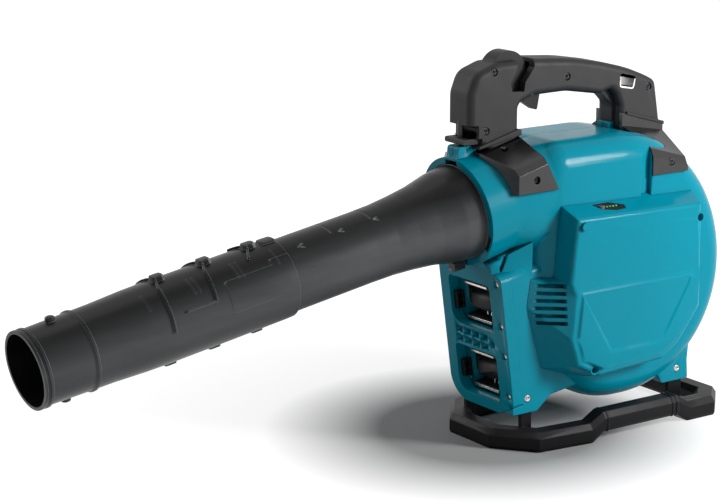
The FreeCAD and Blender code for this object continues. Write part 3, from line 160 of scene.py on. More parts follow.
class Wire:
    """An output socket. Arithmetic on it adds Math nodes to its tree."""

    def __init__(self, tree, socket):
        self.tree = tree
        self.socket = socket

    def maths(self, operation, *values):
        """The output of a new Math node that works on the values."""
        node = self.tree.nodes.new("ShaderNodeMath")
        node.operation = operation
        for socket, value in zip(node.inputs, values):
            plug(self.tree, socket, value)
        return Wire(self.tree, node.outputs[0])

    def __add__(self, other):
        return self.maths("ADD", self, other)

    def __radd__(self, other):
        return self.maths("ADD", other, self)

    def __sub__(self, other):
        return self.maths("SUBTRACT", self, other)

    def __rsub__(self, other):
        return self.maths("SUBTRACT", other, self)

    def __mul__(self, other):
        return self.maths("MULTIPLY", self, other)

    def __rmul__(self, other):
        return self.maths("MULTIPLY", other, self)

    def larger(self, other):
        """The larger of two values."""
        return self.maths("MAXIMUM", self, other)


class Nodes:
    """Makes the nodes of one tree."""

    def __init__(self, tree):
        self.tree = tree

    def node(self, kind, settings=None, inputs=None, output=0):
        """Adds a node: its settings first, then the values or wires of its sockets. Gives one output."""
        made = self.tree.nodes.new("ShaderNode" + kind)
        for key, value in (settings or {}).items():
            setattr(made, key, value)
        for key, value in (inputs or {}).items():
            plug(self.tree, made.inputs[key], value)
        return Wire(self.tree, made.outputs[output])

    def seen(self):
        """Mask that is 1 for the camera, for mirrors and through glass, and 0 for light on the object."""
        camera, glossy, through = (self.node("LightPath", output=key) for key in
                                   ("Is Camera Ray", "Is Glossy Ray", "Is Transmission Ray"))
        return camera.larger(glossy).larger(through)


MIX_FACTOR, MIX_FIRST, MIX_SECOND, MIX_COLOUR = 0, 6, 7, 2      # the Mix node's sockets for colours


class Paint(Nodes):
    """One material: its tree, its shader and the patterns that a finish is mixed from."""

    def __init__(self, name, **constants):
        self.material = bpy.data.materials.new(name)
        self.material.use_nodes = True
        super().__init__(self.material.node_tree)
        self.shader = self.tree.nodes["Principled BSDF"]
        self.wear(**constants)

    def place(self, stretch=(1, 1, 1)):
        """Object coordinates in metres, stretched along each axis."""
        spot = self.node("TexCoord", output="Object")
        if stretch == (1, 1, 1):
            return spot
        return self.node("VectorMath", {"operation": "MULTIPLY"}, {0: spot, 1: stretch})

    def noise(self, scale, detail=2.0, stretch=(1, 1, 1)):
        """Smooth random values around a half, as many waves to a metre as the scale says."""
        inputs = {"Vector": self.place(stretch), "Scale": scale, "Detail": detail}
        return self.node("TexNoise", None, inputs)

    def span(self, value, low, high, to_low=0.0, to_high=1.0):
        """Maps a value from one span to another, and stays inside it."""
        limits = {"From Min": low, "From Max": high, "To Min": to_low, "To Max": to_high}
        return self.node("MapRange", {"clamp": True}, {"Value": value, **limits})

    def blend(self, factor, first, second):
        """Mix of two colours."""
        inputs = {MIX_FACTOR: factor, MIX_FIRST: first, MIX_SECOND: second}
        return self.node("Mix", {"data_type": "RGBA"}, inputs, output=MIX_COLOUR)

    def soft_normal(self, radius):
        """Normal that is rounded over edges within a radius."""
        return self.node("Bevel", {"samples": 4}, {"Radius": radius})

    def edges(self, rounded, sharpness):
        """Mask that is 1 on edges, from how far the rounded normal leans from the true one."""
        true = self.node("NewGeometry", output="True Normal")
        inputs = {0: rounded, 1: true}
        agree = self.node("VectorMath", {"operation": "DOT_PRODUCT"}, inputs, output="Value")
        return self.span(1.0 - agree, 0.0, sharpness)

    def painted_hollow_shade(self, reach):
        """Painted shade: a factor from ambient occlusion that falls below 1 in seams, corners and hollows
        narrower than the reach.
        """
        openness = self.node("AmbientOcclusion", {"samples": 6}, {"Distance": reach}, output="AO")
        return self.span(openness, 0.30, 0.80)

    def along(self, way, origin):
        """How far a point lies from the origin along a unit vector."""
        inputs = {0: self.place(), 1: tuple(way)}
        reach = self.node("VectorMath", {"operation": "DOT_PRODUCT"}, inputs, output="Value")
        return reach - float(origin @ way)

    def bump(self, height, distance, normal=None):
        """Normal tilted by a height pattern."""
        inputs = {"Height": height, "Distance": distance}
        if normal is not None:
            inputs["Normal"] = normal
        return self.node("Bump", None, inputs)

    def wear(self, **channels):
        """Sets or links the shader's sockets, their names written with underscores. Gives the material."""
        for key, value in channels.items():
            plug(self.tree, self.shader.inputs[key.replace("_", " ")], value)
        return self.material


def shade(colour, factor):
    """A colour made lighter or darker by a factor."""
    return tuple(min(1.0, channel * factor) for channel in colour)


# ---------------------------------------------------------------- finishes

# Painted shade: ambient occlusion darkens the colour in seams, corners and hollows.
SEAM_REACH = 0.006          # metres within which a neighbouring wall darkens a surface
PAINTED_SEAM_SHADE = 0.15
COAT_ROUGHNESS = 0.08
PLASTIC_EDGE = 0.0007       # metres, the radius of an edge
METAL_EDGE = 0.0004
NOZZLE_EDGE = 0.0006


def moulded(name, colour, gloss, grain, relief, edge=PLASTIC_EDGE, worn=1.35, spread=0.10, coat=0.0,
            shine=0.5):
    """Moulded plastic: fine grain, slow changes of tint and gloss, edges rubbed lighter, and painted shade
    that darkens seams and hollows.

    gloss is its least roughness, grain and relief the fineness and depth of its surface, edge the
    radius of its edges, worn how much lighter they are, spread how far the tint wanders, coat how
    much clear coat lies on it, and shine how strongly it mirrors.
    """
    paint = Paint(name, Specular_IOR_Level=shine, Coat_Weight=coat, Coat_Roughness=COAT_ROUGHNESS)
    rounded = paint.soft_normal(edge)
    slow = paint.span(paint.noise(9.0, 3.0), 0.3, 0.7)
    cloudy = paint.span(paint.noise(46.0, 4.0), 0.32, 0.68)
    fine = paint.noise(grain, 2.0)
    body = paint.blend(slow, shade(colour, 1 - spread), shade(colour, 1 + spread))
    rubbed_and_highlit = paint.edges(rounded, 0.10) * paint.span(paint.noise(70.0, 3.0), 0.30, 0.62)
    rubbed_body = paint.blend(rubbed_and_highlit * 0.55, body, shade(colour, worn))
    # Seams and hollows are darkened here with painted shade.
    base = paint.blend(paint.painted_hollow_shade(SEAM_REACH), shade(colour, PAINTED_SEAM_SHADE), rubbed_body)
    rough = gloss + cloudy * 0.07 + fine * 0.05 - rubbed_and_highlit * 0.06
    return paint.wear(Base_Color=base, Roughness=rough, Normal=paint.bump(fine, relief, normal=rounded))


def shell_finish():
    """Satin teal under a thin clear coat."""
    return moulded("shell_teal", colours().shell, gloss=0.17, grain=1500.0, relief=0.00001, edge=0.0012,
                   worn=1.5, spread=0.04, coat=0.12, shine=0.05)


PAINTED_SHEEN = 17.0                 # how much lighter than the plastic the painted sheen along the nozzle's middle and lower side is
EDGE_HIGHLIGHT = 45.0                  # and the painted highlights on its edges
SHEEN_RADII = 0.0340 ** 2, 0.0347 ** 2       # squares of the radii between which the painted sheen starts


def nozzle_finish():
    """Satin black with a fine grain and scuffs drawn out along the nozzle, a painted sheen on its lower
    outside and painted highlights on its edges.
    """
    colour = colours().nozzle
    paint = Paint("nozzle_black", Specular_IOR_Level=0.16)
    rounded = paint.soft_normal(NOZZLE_EDGE)
    fine = paint.noise(1300.0, 2.0)
    drawn = paint.span(paint.noise(60.0, 5.0, (0.14, 1.0, 0.9)), 0.34, 0.72)
    scratch = paint.span(paint.noise(420.0, 2.0, (0.05, 1.0, 1.0)), 0.66, 0.74)
    patchy = paint.span(paint.noise(14.0, 2.0), 0.35, 0.65)
    rubbed_and_highlit = paint.edges(rounded, 0.12)
    above, aside = (paint.along(way, MOUTH) for way in (UPWARD, ACROSS))
    # Painted sheen: the outside is lighter below its upper part, down to the bottom, where it is half as
    # strong.
    outside = paint.span(above * above + aside * aside, *SHEEN_RADII)
    below_top = paint.span(above, 0.002, 0.030, 1.0, 0.0)
    sheen_band = below_top * paint.span(above, -0.036, -0.010, 0.5, 1.0)
    body = paint.blend(drawn, shade(colour, 0.8), shade(colour, 1.3))
    sheened = paint.blend(sheen_band * outside * (0.72 + drawn * 0.28), body, shade(colour, PAINTED_SHEEN))
    # Edges lighter: a painted highlight along the ribs, rings and rims.
    base = paint.blend(rubbed_and_highlit * 0.9, sheened, shade(colour, EDGE_HIGHLIGHT))
    rough = 0.28 + drawn * 0.08 + patchy * 0.04 - scratch * 0.05
    height = fine + scratch * (-0.6)
    return paint.wear(Base_Color=base, Roughness=rough, Normal=paint.bump(height, 0.00004, normal=rounded))


def handle_finish():
    """Soft dark grey with a coarse grain."""
    return moulded("handle_soft", colours().handle, gloss=0.50, grain=900.0, relief=0.00009, worn=1.6,
                   shine=0.3)


def saddle_finish():
    """Gloss black."""
    return moulded("saddle_gloss", colours().saddle, gloss=0.16, grain=1400.0, relief=0.000008, worn=2.2,
                   spread=0.06, shine=0.6)


def stand_finish():
    """Matte black with the coarsest grain and wide rubbed edges."""
    return moulded("stand_matte", colours().stand, gloss=0.36, grain=620.0, relief=0.00010, edge=0.0016,
                   worn=4.5, spread=0.14, shine=0.14)


def plastic_finish():
    """Satin black of the small mouldings."""
    return moulded("plastic_black", colours().plastic, gloss=0.40, grain=1200.0, relief=0.00004, worn=4.0,
                   shine=0.2)


def button_finish():
    """Dull grey rubber."""
    return moulded("button_rubber", colours().button, gloss=0.60, grain=1000.0, relief=0.00006, worn=1.2)


def metal(name, colour, rough, grain, relief, stretch=(1, 1, 1)):
    """Metal with a drawn grain, a little tarnish and bright edges."""
    paint = Paint(name, Metallic=1.0)
    rounded = paint.soft_normal(METAL_EDGE)
    drawn = paint.noise(grain, 3.0, stretch)
    tarnish = paint.span(paint.noise(120.0, 4.0), 0.38, 0.75)
    base = paint.blend(tarnish, colour, shade(colour, 0.72))
    bright = paint.blend(paint.edges(rounded, 0.15) * 0.5, base, shade(colour, 1.25))
    dull = rough + tarnish * 0.14 + drawn * 0.08
    return paint.wear(Base_Color=bright, Roughness=dull, Normal=paint.bump(drawn, relief, normal=rounded))


def steel_finish():
    """Zinc-plated steel."""
    return metal("steel_zinc", colours().steel, rough=0.26, grain=900.0, relief=0.00002)


def dark_steel_finish():
    """Black-oxide steel."""
    return metal("steel_black", colours().dark_steel, rough=0.30, grain=900.0, relief=0.00002)


def contact_finish():
    """Bright plating, drawn out along X."""
    return metal("contact_plated", colours().contact, rough=0.14, grain=500.0, relief=0.00001,
                 stretch=(0.3, 1, 1))


def cast_finish():
    """Dull cast aluminium."""
    return metal("cast_metal", colours().cast, rough=0.36, grain=700.0, relief=0.00008)


def copper_finish():
    """Turns of enamelled wire, as bands along the motor's axis."""
    colour = colours().copper
    paint = Paint("copper_wire", Metallic=1.0, Coat_Weight=0.6, Coat_Roughness=0.1)
    turns = paint.node("TexWave", {"bands_direction": "Y", "wave_profile": "SIN"},
                       {"Vector": paint.place(), "Scale": 160.0, "Distortion": 0.4, "Detail": 1.0})
    base = paint.blend(turns, shade(colour, 0.5), shade(colour, 1.1))
    return paint.wear(Base_Color=base, Roughness=0.24 + turns * 0.1, Normal=paint.bump(turns, 0.0003))


def board_finish():
    """Green lacquer over copper traces."""
    colour = colours().board
    paint = Paint("board_lacquer", Coat_Weight=0.5, Coat_Roughness=0.1)
    cells = paint.node("TexBrick", {"offset": 0.5}, {
        "Vector": paint.place(), "Scale": 60.0, "Mortar Size": 0.03,
        "Color1": shade(colour, 0.8), "Color2": colour, "Mortar": shade(colour, 1.9)})
    grain = paint.noise(400.0)
    return paint.wear(Base_Color=cells, Roughness=0.3 + grain * 0.15, Normal=paint.bump(grain, 0.00003))


def lamp_finish():
    """Milky lens with a lit core."""
    colour = colours().lamp
    paint = Paint("lamp_lens", Coat_Weight=1.0, Coat_Roughness=0.05, Emission_Strength=0.25)
    core = paint.noise(300.0, 1.0)
    base = paint.blend(core, shade(colour, 0.7), shade(colour, 1.2))
    return paint.wear(Base_Color=base, Roughness=0.2 + core * 0.1, Emission_Color=base)


FINISHES = {
    "shell": shell_finish, "nozzle_plastic": nozzle_finish, "handle_plastic": handle_finish,
    "gloss_black": saddle_finish, "stand_plastic": stand_finish, "black_plastic": plastic_finish,
    "grey_rubber": button_finish, "steel": steel_finish, "dark_steel": dark_steel_finish,
    "plated": contact_finish, "motor_metal": cast_finish, "copper": copper_finish, "board": board_finish,
    "lamp": lamp_finish,
}
MADE = {}


def finish_of(slot):
    """The material of one of the record's slots, made once."""
    if slot not in MADE:
        MADE[slot] = FINISHES[slot]()
    return MADE[slot]


def colours():
    """The colours that the finishes read."""
    return bpy.context.scene.blower_colours


def sizes():
    """The sizes that the worked-out pieces read."""
    return bpy.context.scene.blower_sizes


# ---------------------------------------------------------------- meshes

def show(name, mesh, body, slot, nodes=()):
    """Puts a finished mesh into the scene as a piece that stands for CAD nodes.

    It rides on a body; where body is a tuple (fixed body, moving body, start, end), its place is only baked
    into the mesh.
    """
    piece = bpy.data.objects.new(name, mesh)
    bpy.context.scene.collection.objects.link(piece)
    mesh.materials.append(finish_of(slot))
    if isinstance(body, str):
        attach(piece, body)
    else:
        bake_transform(piece)
    if nodes:
        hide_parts(*nodes)
    return piece


JOIN_DISTANCE = 2e-6        # metres within which points of a copy are one
SLIVER_LENGTH = 1e-7
COPY_ANGLE = 28.0           # degrees under which the faces of a copy shade as one
NEW_ANGLE = 35.0


def cad_copy(name, node, angle=COPY_ANGLE, body=None):
    """A piece that stands for a CAD node: its triangles joined, and smooth under an angle."""
    source = frame["nodes"][node]
    mesh = bpy.data.meshes.new(name)
    joined = bmesh.new()
    joined.from_mesh(source.data)
    bmesh.ops.remove_doubles(joined, verts=joined.verts, dist=JOIN_DISTANCE)
    bmesh.ops.dissolve_degenerate(joined, edges=joined.edges, dist=SLIVER_LENGTH)
    joined.to_mesh(mesh)
    joined.free()
    mesh.materials.clear()
    mesh.shade_smooth()
    mesh.set_sharp_from_angle(angle=math.radians(angle))
    piece = show(name, mesh, body or source["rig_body"], SLOT_OF[node], (node,))
    weigh_normals(piece)


def weigh_normals(piece):
    """Lets large faces lead the shading, so that flat ones look flat."""
    modifier = piece.modifiers.new("weighted_normals", "WEIGHTED_NORMAL")
    modifier.mode = "FACE_AREA_WITH_ANGLE"
    modifier.keep_sharp = True


def grid_faces(rows, columns, wrap_rows, wrap_columns):
    """Quads over a grid of points, closed on itself where it wraps."""
    index = np.arange(rows * columns).reshape(rows, columns)
    if wrap_rows:
        index = np.vstack([index, index[:1]])
    if wrap_columns:
        index = np.hstack([index, index[:, :1]])
    around = (index[:-1, :-1], index[1:, :-1], index[1:, 1:], index[:-1, 1:])
    return np.stack(around, axis=-1).reshape(-1, 4)


def surface(points, wrap_rows=False, wrap_columns=False, caps=False):
    """(vertices, quads, ends) of a grid of points; with caps, the ends are its first and last rows."""
    rows, columns = points.shape[:2]
    first = np.arange(columns)
    ends = [first, first + (rows - 1) * columns] if caps else []
    return points.reshape(-1, 3), grid_faces(rows, columns, wrap_rows, wrap_columns), ends


def mesh_of(name, surfaces, angle=NEW_ANGLE):
    """One mesh of several closed surfaces, with its faces turned outwards."""
    points, faces, start = [], [], 0
    for vertices, quads, ends in surfaces:
        points.append(vertices)
        faces += (quads + start).tolist() + [(end + start).tolist() for end in ends]
        start += len(vertices)
    mesh = bpy.data.meshes.new(name)
    mesh.from_pydata(np.concatenate(points).tolist(), [], faces)
    turned = bmesh.new()
    turned.from_mesh(mesh)
    bmesh.ops.recalc_face_normals(turned, faces=turned.faces)
    turned.to_mesh(mesh)
    turned.free()
    mesh.shade_smooth()
    mesh.set_sharp_from_angle(angle=math.radians(angle))
    return mesh


# ---------------------------------------------------------------- nozzle

def round_nozzle(along, turn, radius):
    """Points on the nozzle: so far from the mouth, turned by degrees from its top, at a radius."""
    angle = np.radians(turn)
    out = np.cos(angle)[..., None] * UPWARD + np.sin(angle)[..., None] * ACROSS
    return MOUTH + MM * (along[..., None] * TIPWARD + radius[..., None] * out)


def step(value):
    """Smooth step of a value from 0 to 1: three times its square, less twice its cube."""
    value = np.clip(value, 0.0, 1.0)
    return value * value * (3.0 - 2.0 * value)


def bar(along, arc, start, end, width, soft):
    """1 on a straight bar between two points of the unrolled tube, falling to 0 over the soft edge.

    The distance to the bar is the distance to the nearest point of the line between its ends.
    """
    run = np.subtract(end, start)
    ahead, over = along - start[0], arc - start[1]
    share = np.clip((ahead * run[0] + over * run[1]) / (run @ run), 0.0, 1.0)
    away = np.hypot(ahead - share * run[0], over - share * run[1])
    return step((width / 2 + soft - away) / soft)


def plate(along, arc, low, high, soft, corner):
    """1 on a rectangle of the unrolled tube with rounded corners, falling to 0 over the soft edge.

    The distance beyond its core is taken along each axis, and both together past a corner.
    """
    middle = np.add(low, high) / 2
    half = np.subtract(high, low) / 2 - corner
    beyond_a = np.abs(along - middle[0]) - half[0]
    beyond_b = np.abs(arc - middle[1]) - half[1]
    away = np.hypot(np.maximum(beyond_a, 0), np.maximum(beyond_b, 0))
    away = away + np.minimum(np.maximum(beyond_a, beyond_b), 0)
    return step((corner + soft - away) / soft)


def tube(outer, inner, along, along_inner, turns):
    """Closed wall: out along one skin and back along another, each a radius over (along, turn)."""
    there, turned = np.meshgrid(along, turns, indexing="ij")
    outside = round_nozzle(there, turned, outer(there, turned))
    back, turned = np.meshgrid(along_inner[::-1], turns, indexing="ij")
    inside = round_nozzle(back, turned, inner(back, turned))
    return surface(np.concatenate([outside, inside]), wrap_rows=True, wrap_columns=True)


def stations(low, high, pitch, *edges):
    """Evenly spaced lines with extra ones close to each edge."""
    even = np.linspace(low, high, int((high - low) / pitch) + 1)
    extra = [edge + shift for edge in edges for shift in (-0.6, -0.2, 0.2, 0.6)]
    lines = np.unique(np.round(np.concatenate([even, extra]), 3))
    return lines[(lines >= low) & (lines <= high)]


# The sleeve's plain round body: distance from the mouth, radius.
SLEEVE_BODY = ((211, 38.0), (218, 38.2), (290, 38.4), (345, 38.4), (366, 38.0), (400, 36.5), (421, 36.2),
               (462, 35.3), (474, 35.0))
SLEEVE_RADIUS = 38.4        # at which the sleeve is unrolled for what stands out of it

# Ribs on both sides of the sleeve: distance from the mouth, distance down the side from the top.
RIBS = (((337.0, 4.0), (339.5, 10.0), (341.5, 16.0), (343.0, 36.0), (344.0, 60.0)),
        ((288.0, 4.0), (290.5, 10.0), (292.5, 16.0), (295.5, 36.0), (297.0, 46.0), (328.0, 46.0)),
        ((240.0, 4.0), (244.0, 11.0), (248.0, 18.5)))
RIB_HIGH = 2.4
RIB_PITCH = 1.5             # between the profiles along a rib

BEADS = ((421.0, 1.1), (466.8, 1.1), (472.6, 1.3))      # rings round the tip: middle, half width
BEAD_LINES = (419.6, 421.0, 422.4, 465.5, 466.8, 468.1, 471.2, 472.6)     # near which the grid is finer
BEAD_HIGH, BEAD_SOFT = 1.5, 0.7

# Blocks along the top: middle, length, width, height.
TOP_BLOCKS = ((334.0, 11.0, 9.0, 5.0), (285.0, 11.0, 9.0, 5.0), (237.0, 11.0, 9.0, 4.8),
              (217.0, 15.0, 12.0, 2.2))
LOWER_BLOCKS = (337.0, 290.0, 244.0)                    # middles of those along the bottom
LOWER_HALF_LENGTH, LOWER_HALF_WIDTH, LOWER_HIGH = 6, 5, 3.2
BLOCK_SOFT, BLOCK_CORNER = 0.9, 2.5

# Raised plates on the motor cover's side: nearest and furthest corner, corner radius.
PLATES = (((209.0, 33.0), (283.0, 62.0), 3.0), ((209.0, 27.0), (231.0, 40.0), 2.0))
PLATE_HIGH = 0.7
TICKS = (355.0, 360.0, 308.0, 313.0, 224.0, 262.0, 267.0)      # faint lines across that side
TICK_HALF, TICK_TOP, TICK_BOTTOM, TICK_HIGH = 0.5, 16, 34, 0.25

PEG_PLACE = 442.0
PEG_RISE = np.array([33.6, 38.6, 39.6, 40.2, 40.4])     # a peg's heights above the nozzle's axis
PEG_RADII = np.array([4.6, 4.5, 4.2, 3.2, 0.8])         # and its radii there


def sleeve_body(along):
    """Radius of the sleeve's plain round body."""
    stops, radii = zip(*SLEEVE_BODY)
    return np.interp(along, stops, radii)


def rib(path, side, wide, high):
    """Thin rib on the sleeve: a round-topped profile carried along a path on the unrolled tube.

    The path is filled in evenly, each point is moved across the path by the profile's offset, and
    the result is rolled up at the body's radius plus the profile's height.
    """
    path = np.array(path)
    steps = np.concatenate([[0.0], np.cumsum(np.hypot(*np.diff(path, axis=0).T))])
    fill = np.unique(np.concatenate([steps, np.arange(0.0, steps[-1], RIB_PITCH)]))
    line = np.stack([np.interp(fill, steps, path[:, 0]), np.interp(fill, steps, path[:, 1])], axis=1)
    run = np.gradient(line, axis=0)
    run /= np.linalg.norm(run, axis=1, keepdims=True)
    foot, shoulder = -0.8, high - 0.35
    offset = np.array([-0.5, -0.5, -0.28, 0.28, 0.5, 0.5]) * wide
    height = np.array([foot, shoulder, high, high, shoulder, foot])
    along = line[:, :1] - run[:, 1:] * offset
    arc = line[:, 1:] + run[:, :1] * offset
    turn = np.degrees(side * arc / SLEEVE_RADIUS)
    return surface(round_nozzle(along, turn, sleeve_body(along) + height), wrap_columns=True, caps=True)


def sleeve_skin(along, turn):
    """Sleeve's radius: its plain body plus beads, blocks, plates and ticks, each height times its mask."""
    arc = np.radians((turn + 180.0) % 360.0 - 180.0) * SLEEVE_RADIUS
    below = np.radians((turn % 360.0) - 180.0) * SLEEVE_RADIUS
    radius = sleeve_body(along)
    for middle, half in BEADS:
        radius = radius + BEAD_HIGH * step((half + BEAD_SOFT - np.abs(along - middle)) / BEAD_SOFT)
    for middle, long, wide, high in TOP_BLOCKS:
        low, far = (middle - long / 2, -wide / 2), (middle + long / 2, wide / 2)
        radius = radius + high * plate(along, arc, low, far, BLOCK_SOFT, BLOCK_CORNER)
    for middle in LOWER_BLOCKS:
        low = middle - LOWER_HALF_LENGTH, -LOWER_HALF_WIDTH
        far = middle + LOWER_HALF_LENGTH, LOWER_HALF_WIDTH
        radius = radius + LOWER_HIGH * plate(along, below, low, far, BLOCK_SOFT, BLOCK_CORNER)
    masks = [plate(along, -arc, low, far, 1.0, corner) for low, far, corner in PLATES]
    radius = radius + PLATE_HIGH * np.maximum(*masks)
    for middle in TICKS:
        low, far = (middle - TICK_HALF, TICK_TOP), (middle + TICK_HALF, TICK_BOTTOM)
        radius = radius + TICK_HIGH * plate(along, -arc, low, far, 0.5, 0.4)
    return radius


def peg(along, turn):
    """Round peg that stands out of the tube: a dome, its height rising as its radius falls."""
    spin = np.radians(np.arange(0.0, 360.0, 15.0))
    tipward = along + PEG_RADII[:, None] * np.cos(spin)
    sideways = PEG_RADII[:, None] * np.sin(spin)
    rise = PEG_RISE[:, None, None]
    angle = math.radians(turn)
    out = math.cos(angle) * UPWARD + math.sin(angle) * ACROSS
    beside = -math.sin(angle) * UPWARD + math.cos(angle) * ACROSS
    points = MOUTH + MM * (tipward[..., None] * TIPWARD + rise * out + sideways[..., None] * beside)
    return surface(points, wrap_columns=True, caps=True)


FINE_END = 345.0            # up to which the sleeve's lines lie close, for its blocks and plates
FINE_PITCH, COARSE_PITCH = 0.85, 2.0
TAPER_START, TAPER_END = 344.0, 358.0       # between which the bore narrows
TURNS = np.arange(0.0, 360.0, 1.0)


def sleeve_surfaces(size):
    """The sleeve: a wall between its skin and a bore that narrows once, two pegs and the ribs."""
    start, end, bore, tip = (value / MM for value in
                             (size.sleeve_start, size.sleeve_end, size.sleeve_bore, size.tip_bore))

    def sleeve_bore(along, turn):
        return np.interp(along, [start, TAPER_START, TAPER_END, end], [bore, bore, tip, tip])

    along = np.concatenate([stations(start, FINE_END, FINE_PITCH),
                            stations(FINE_END + 1.0, end, COARSE_PITCH, *BEAD_LINES)])
    inside = np.array([start, TAPER_START, 351.0, TAPER_END, 400.0, 440.0, end])
    wall = tube(sleeve_skin, sleeve_bore, along, inside, TURNS)
    pegs = [peg(PEG_PLACE, turn) for turn in (0.0, 180.0)]
    ribs = [rib(path, side, size.rib / MM, RIB_HIGH) for path in RIBS for side in (-1.0, 1.0)]
    return [wall] + pegs + ribs


# The cone and the tube that the sleeve slides on: distance from the mouth, radius.
CONE_START, TUBE_END = -22, 250
CONE_BODY = ((CONE_START, 48), (0, 48), (0.5, 47.48), (21, 45.4), (46, 40.2), (70, 37.34), (93, 35.52),
             (118, 35.0), (TUBE_END, 35.0))
TUBE_RADIUS = 35.0          # at which it is unrolled for its marks
CONE_WALL = 2.5
CONE_PITCH = 1.5

# Marks on both sides: lines across the tube, and arrows that point to the tip.
LINES = (157, 112)
LINE_TOP, LINE_BOTTOM = 1, 17
ARROWS = ((194, 20), (148, 19), (109, 20))
ARROW_ENDS = ((-4, -2.0), (-4, 2.5))
MARK_WIDE, MARK_SOFT, MARK_DEEP = 0.6, 0.5, 0.40

LUG_TOP = 51.4              # the bayonet lugs' radius
LUG_HALF = 6.0              # half of their width round the spigot
LUG_SECTION = np.array([(-13.0, 47.0), (-7.0, 47.0), (-7.0, 51.0), (-7.4, LUG_TOP), (-12.6, LUG_TOP),
                        (-13.0, 51.0)])


def marks():
    """Start and end of each engraved line on one side of the tube."""
    lines = [((middle, LINE_TOP), (middle, LINE_BOTTOM)) for middle in LINES]
    arrows = [((a, b), (a + back, b + over)) for a, b in ARROWS for back, over in ARROW_ENDS]
    return lines + arrows


def cone_skin(along, turn):
    """Radius of the cone and its tube, less the depth of the marks times their masks."""
    stops, radii = zip(*CONE_BODY)
    radius = np.interp(along, stops, radii)
    arc = np.radians((turn + 180.0) % 360.0 - 180.0) * TUBE_RADIUS
    for side in (-1.0, 1.0):
        for start, end in marks():
            radius = radius - MARK_DEEP * bar(along, side * arc, start, end, MARK_WIDE, MARK_SOFT)
    return radius


def lug(turn):
    """Bayonet lug on the spigot: its section carried a short way round the nozzle's axis."""
    reach = math.degrees(LUG_HALF / LUG_TOP)
    turns, along = np.meshgrid(turn + np.linspace(-reach, reach, 9), LUG_SECTION[:, 0], indexing="ij")
    radius = np.broadcast_to(LUG_SECTION[:, 1], turns.shape)
    return surface(round_nozzle(along, turns, radius), wrap_columns=True, caps=True)


def cone_surfaces():
    """The cone with its tube: a wall of even thickness between its skin and its bore, and three lugs."""
    def cone_bore(along, turn):
        beside_the_marks = np.full_like(turn, 90.0)
        return cone_skin(along, beside_the_marks) - CONE_WALL

    along = stations(CONE_START, TUBE_END, CONE_PITCH, 0.2, *LINES)
    wall = tube(cone_skin, cone_bore, along, np.linspace(CONE_START, TUBE_END, 60), TURNS)
    return [wall] + [lug(turn) for turn in (90.0, 210.0, 330.0)]


class BLOWER_OT_nozzle(bpy.types.Operator):
    """Makes the flared cone with its inner tube and the sleeve with its ribs"""

    bl_idname = "blower.nozzle"
    bl_label = "Nozzle"

    def execute(self, context):
        sleeve = mesh_of("nozzle_sleeve", sleeve_surfaces(sizes()))
        show("nozzle_sleeve", sleeve, "nozzle_front", "nozzle_plastic", ("nozzle_front",))
        cone = mesh_of("nozzle_cone", cone_surfaces())
        show("nozzle_cone", cone, "nozzle_rear", "nozzle_plastic", ("nozzle_rear",))
        cad_copy("nozzle_latch_piece", "nozzle_latch")
        return {"FINISHED"}


# ---------------------------------------------------------------- groups of pieces

def copies(nodes, angle=COPY_ANGLE):
    """One smoothed copy of each CAD node."""
    for node in nodes:
        cad_copy(node + "_piece", node, angle)


class BLOWER_OT_casing(bpy.types.Operator):
    """Makes the two halves of the casing, the motor cover and the charge gauge"""

    bl_idname = "blower.casing"
    bl_label = "Casing"

    def execute(self, context):
        copies(("housing_left", "housing_right", "motor_cover"), angle=17.0)
        copies(("indicator_panel", "check_button", "indicator_lamps", "controller_board"))
        return {"FINISHED"}


BAY_LEAN = 0.141            # how far back the bays go for each millimetre down
BAY_MIDDLE = 137.0          # height at which a catch of the upper bay isn't moved
BAYS = ((0, 0, 0), (10.2, 0, -72.3))                    # from the upper bay to each
CATCH_BACK = 36.3
UPRIGHTS = [((x, 31.0, 128.0), (x + 2.4, CATCH_BACK, 146.0)) for x in (-3.2, 3.9)]
RUNGS = [((-0.9, 31.6, z), (4.0, CATCH_BACK, z + 3.4)) for z in (128.2, 135.3, 142.4)]
BOX_CORNERS = np.array([[[0, 0, 0], [1, 0, 0], [1, 0, 1], [0, 0, 1]],
                        [[0, 1, 0], [1, 1, 0], [1, 1, 1], [0, 1, 1]]])


def catch_bar(low, high, bay):
    """Bar of a bay's catch: a box between two corners, sheared along X with height as the bays lean."""
    points = low + BOX_CORNERS * np.subtract(high, low)
    points[..., 0] += (BAY_MIDDLE - points[..., 2]) * BAY_LEAN
    return surface((points + np.array(bay)) * MM, wrap_columns=True, caps=True)


class BLOWER_OT_bays(bpy.types.Operator):
    """Makes the frame of the battery bays, their terminals, contacts and catches"""

    bl_idname = "blower.bays"
    bl_label = "Battery bays"

    def execute(self, context):
        copies(("battery_frame", "terminal_lower", "terminal_upper", "contacts_lower", "contacts_upper"))
        bars = [catch_bar(low, high, bay) for low, high in UPRIGHTS + RUNGS for bay in BAYS]
        show("bay_catches", mesh_of("bay_catches", bars), "housing", "black_plastic")
        return {"FINISHED"}


class BLOWER_OT_handle(bpy.types.Operator):
    """Makes the handle, its saddles and the strap's pin and lining"""

    bl_idname = "blower.handle"
    bl_label = "Handle"

    def execute(self, context):
        saddles = ("saddle_front_left", "saddle_front_right", "saddle_rear_left", "saddle_rear_right")
        copies(("handle_left", "handle_right"), angle=13.0)
        copies(saddles, angle=12.0)
        copies(("strap_pin", "strap_liner"))
        return {"FINISHED"}


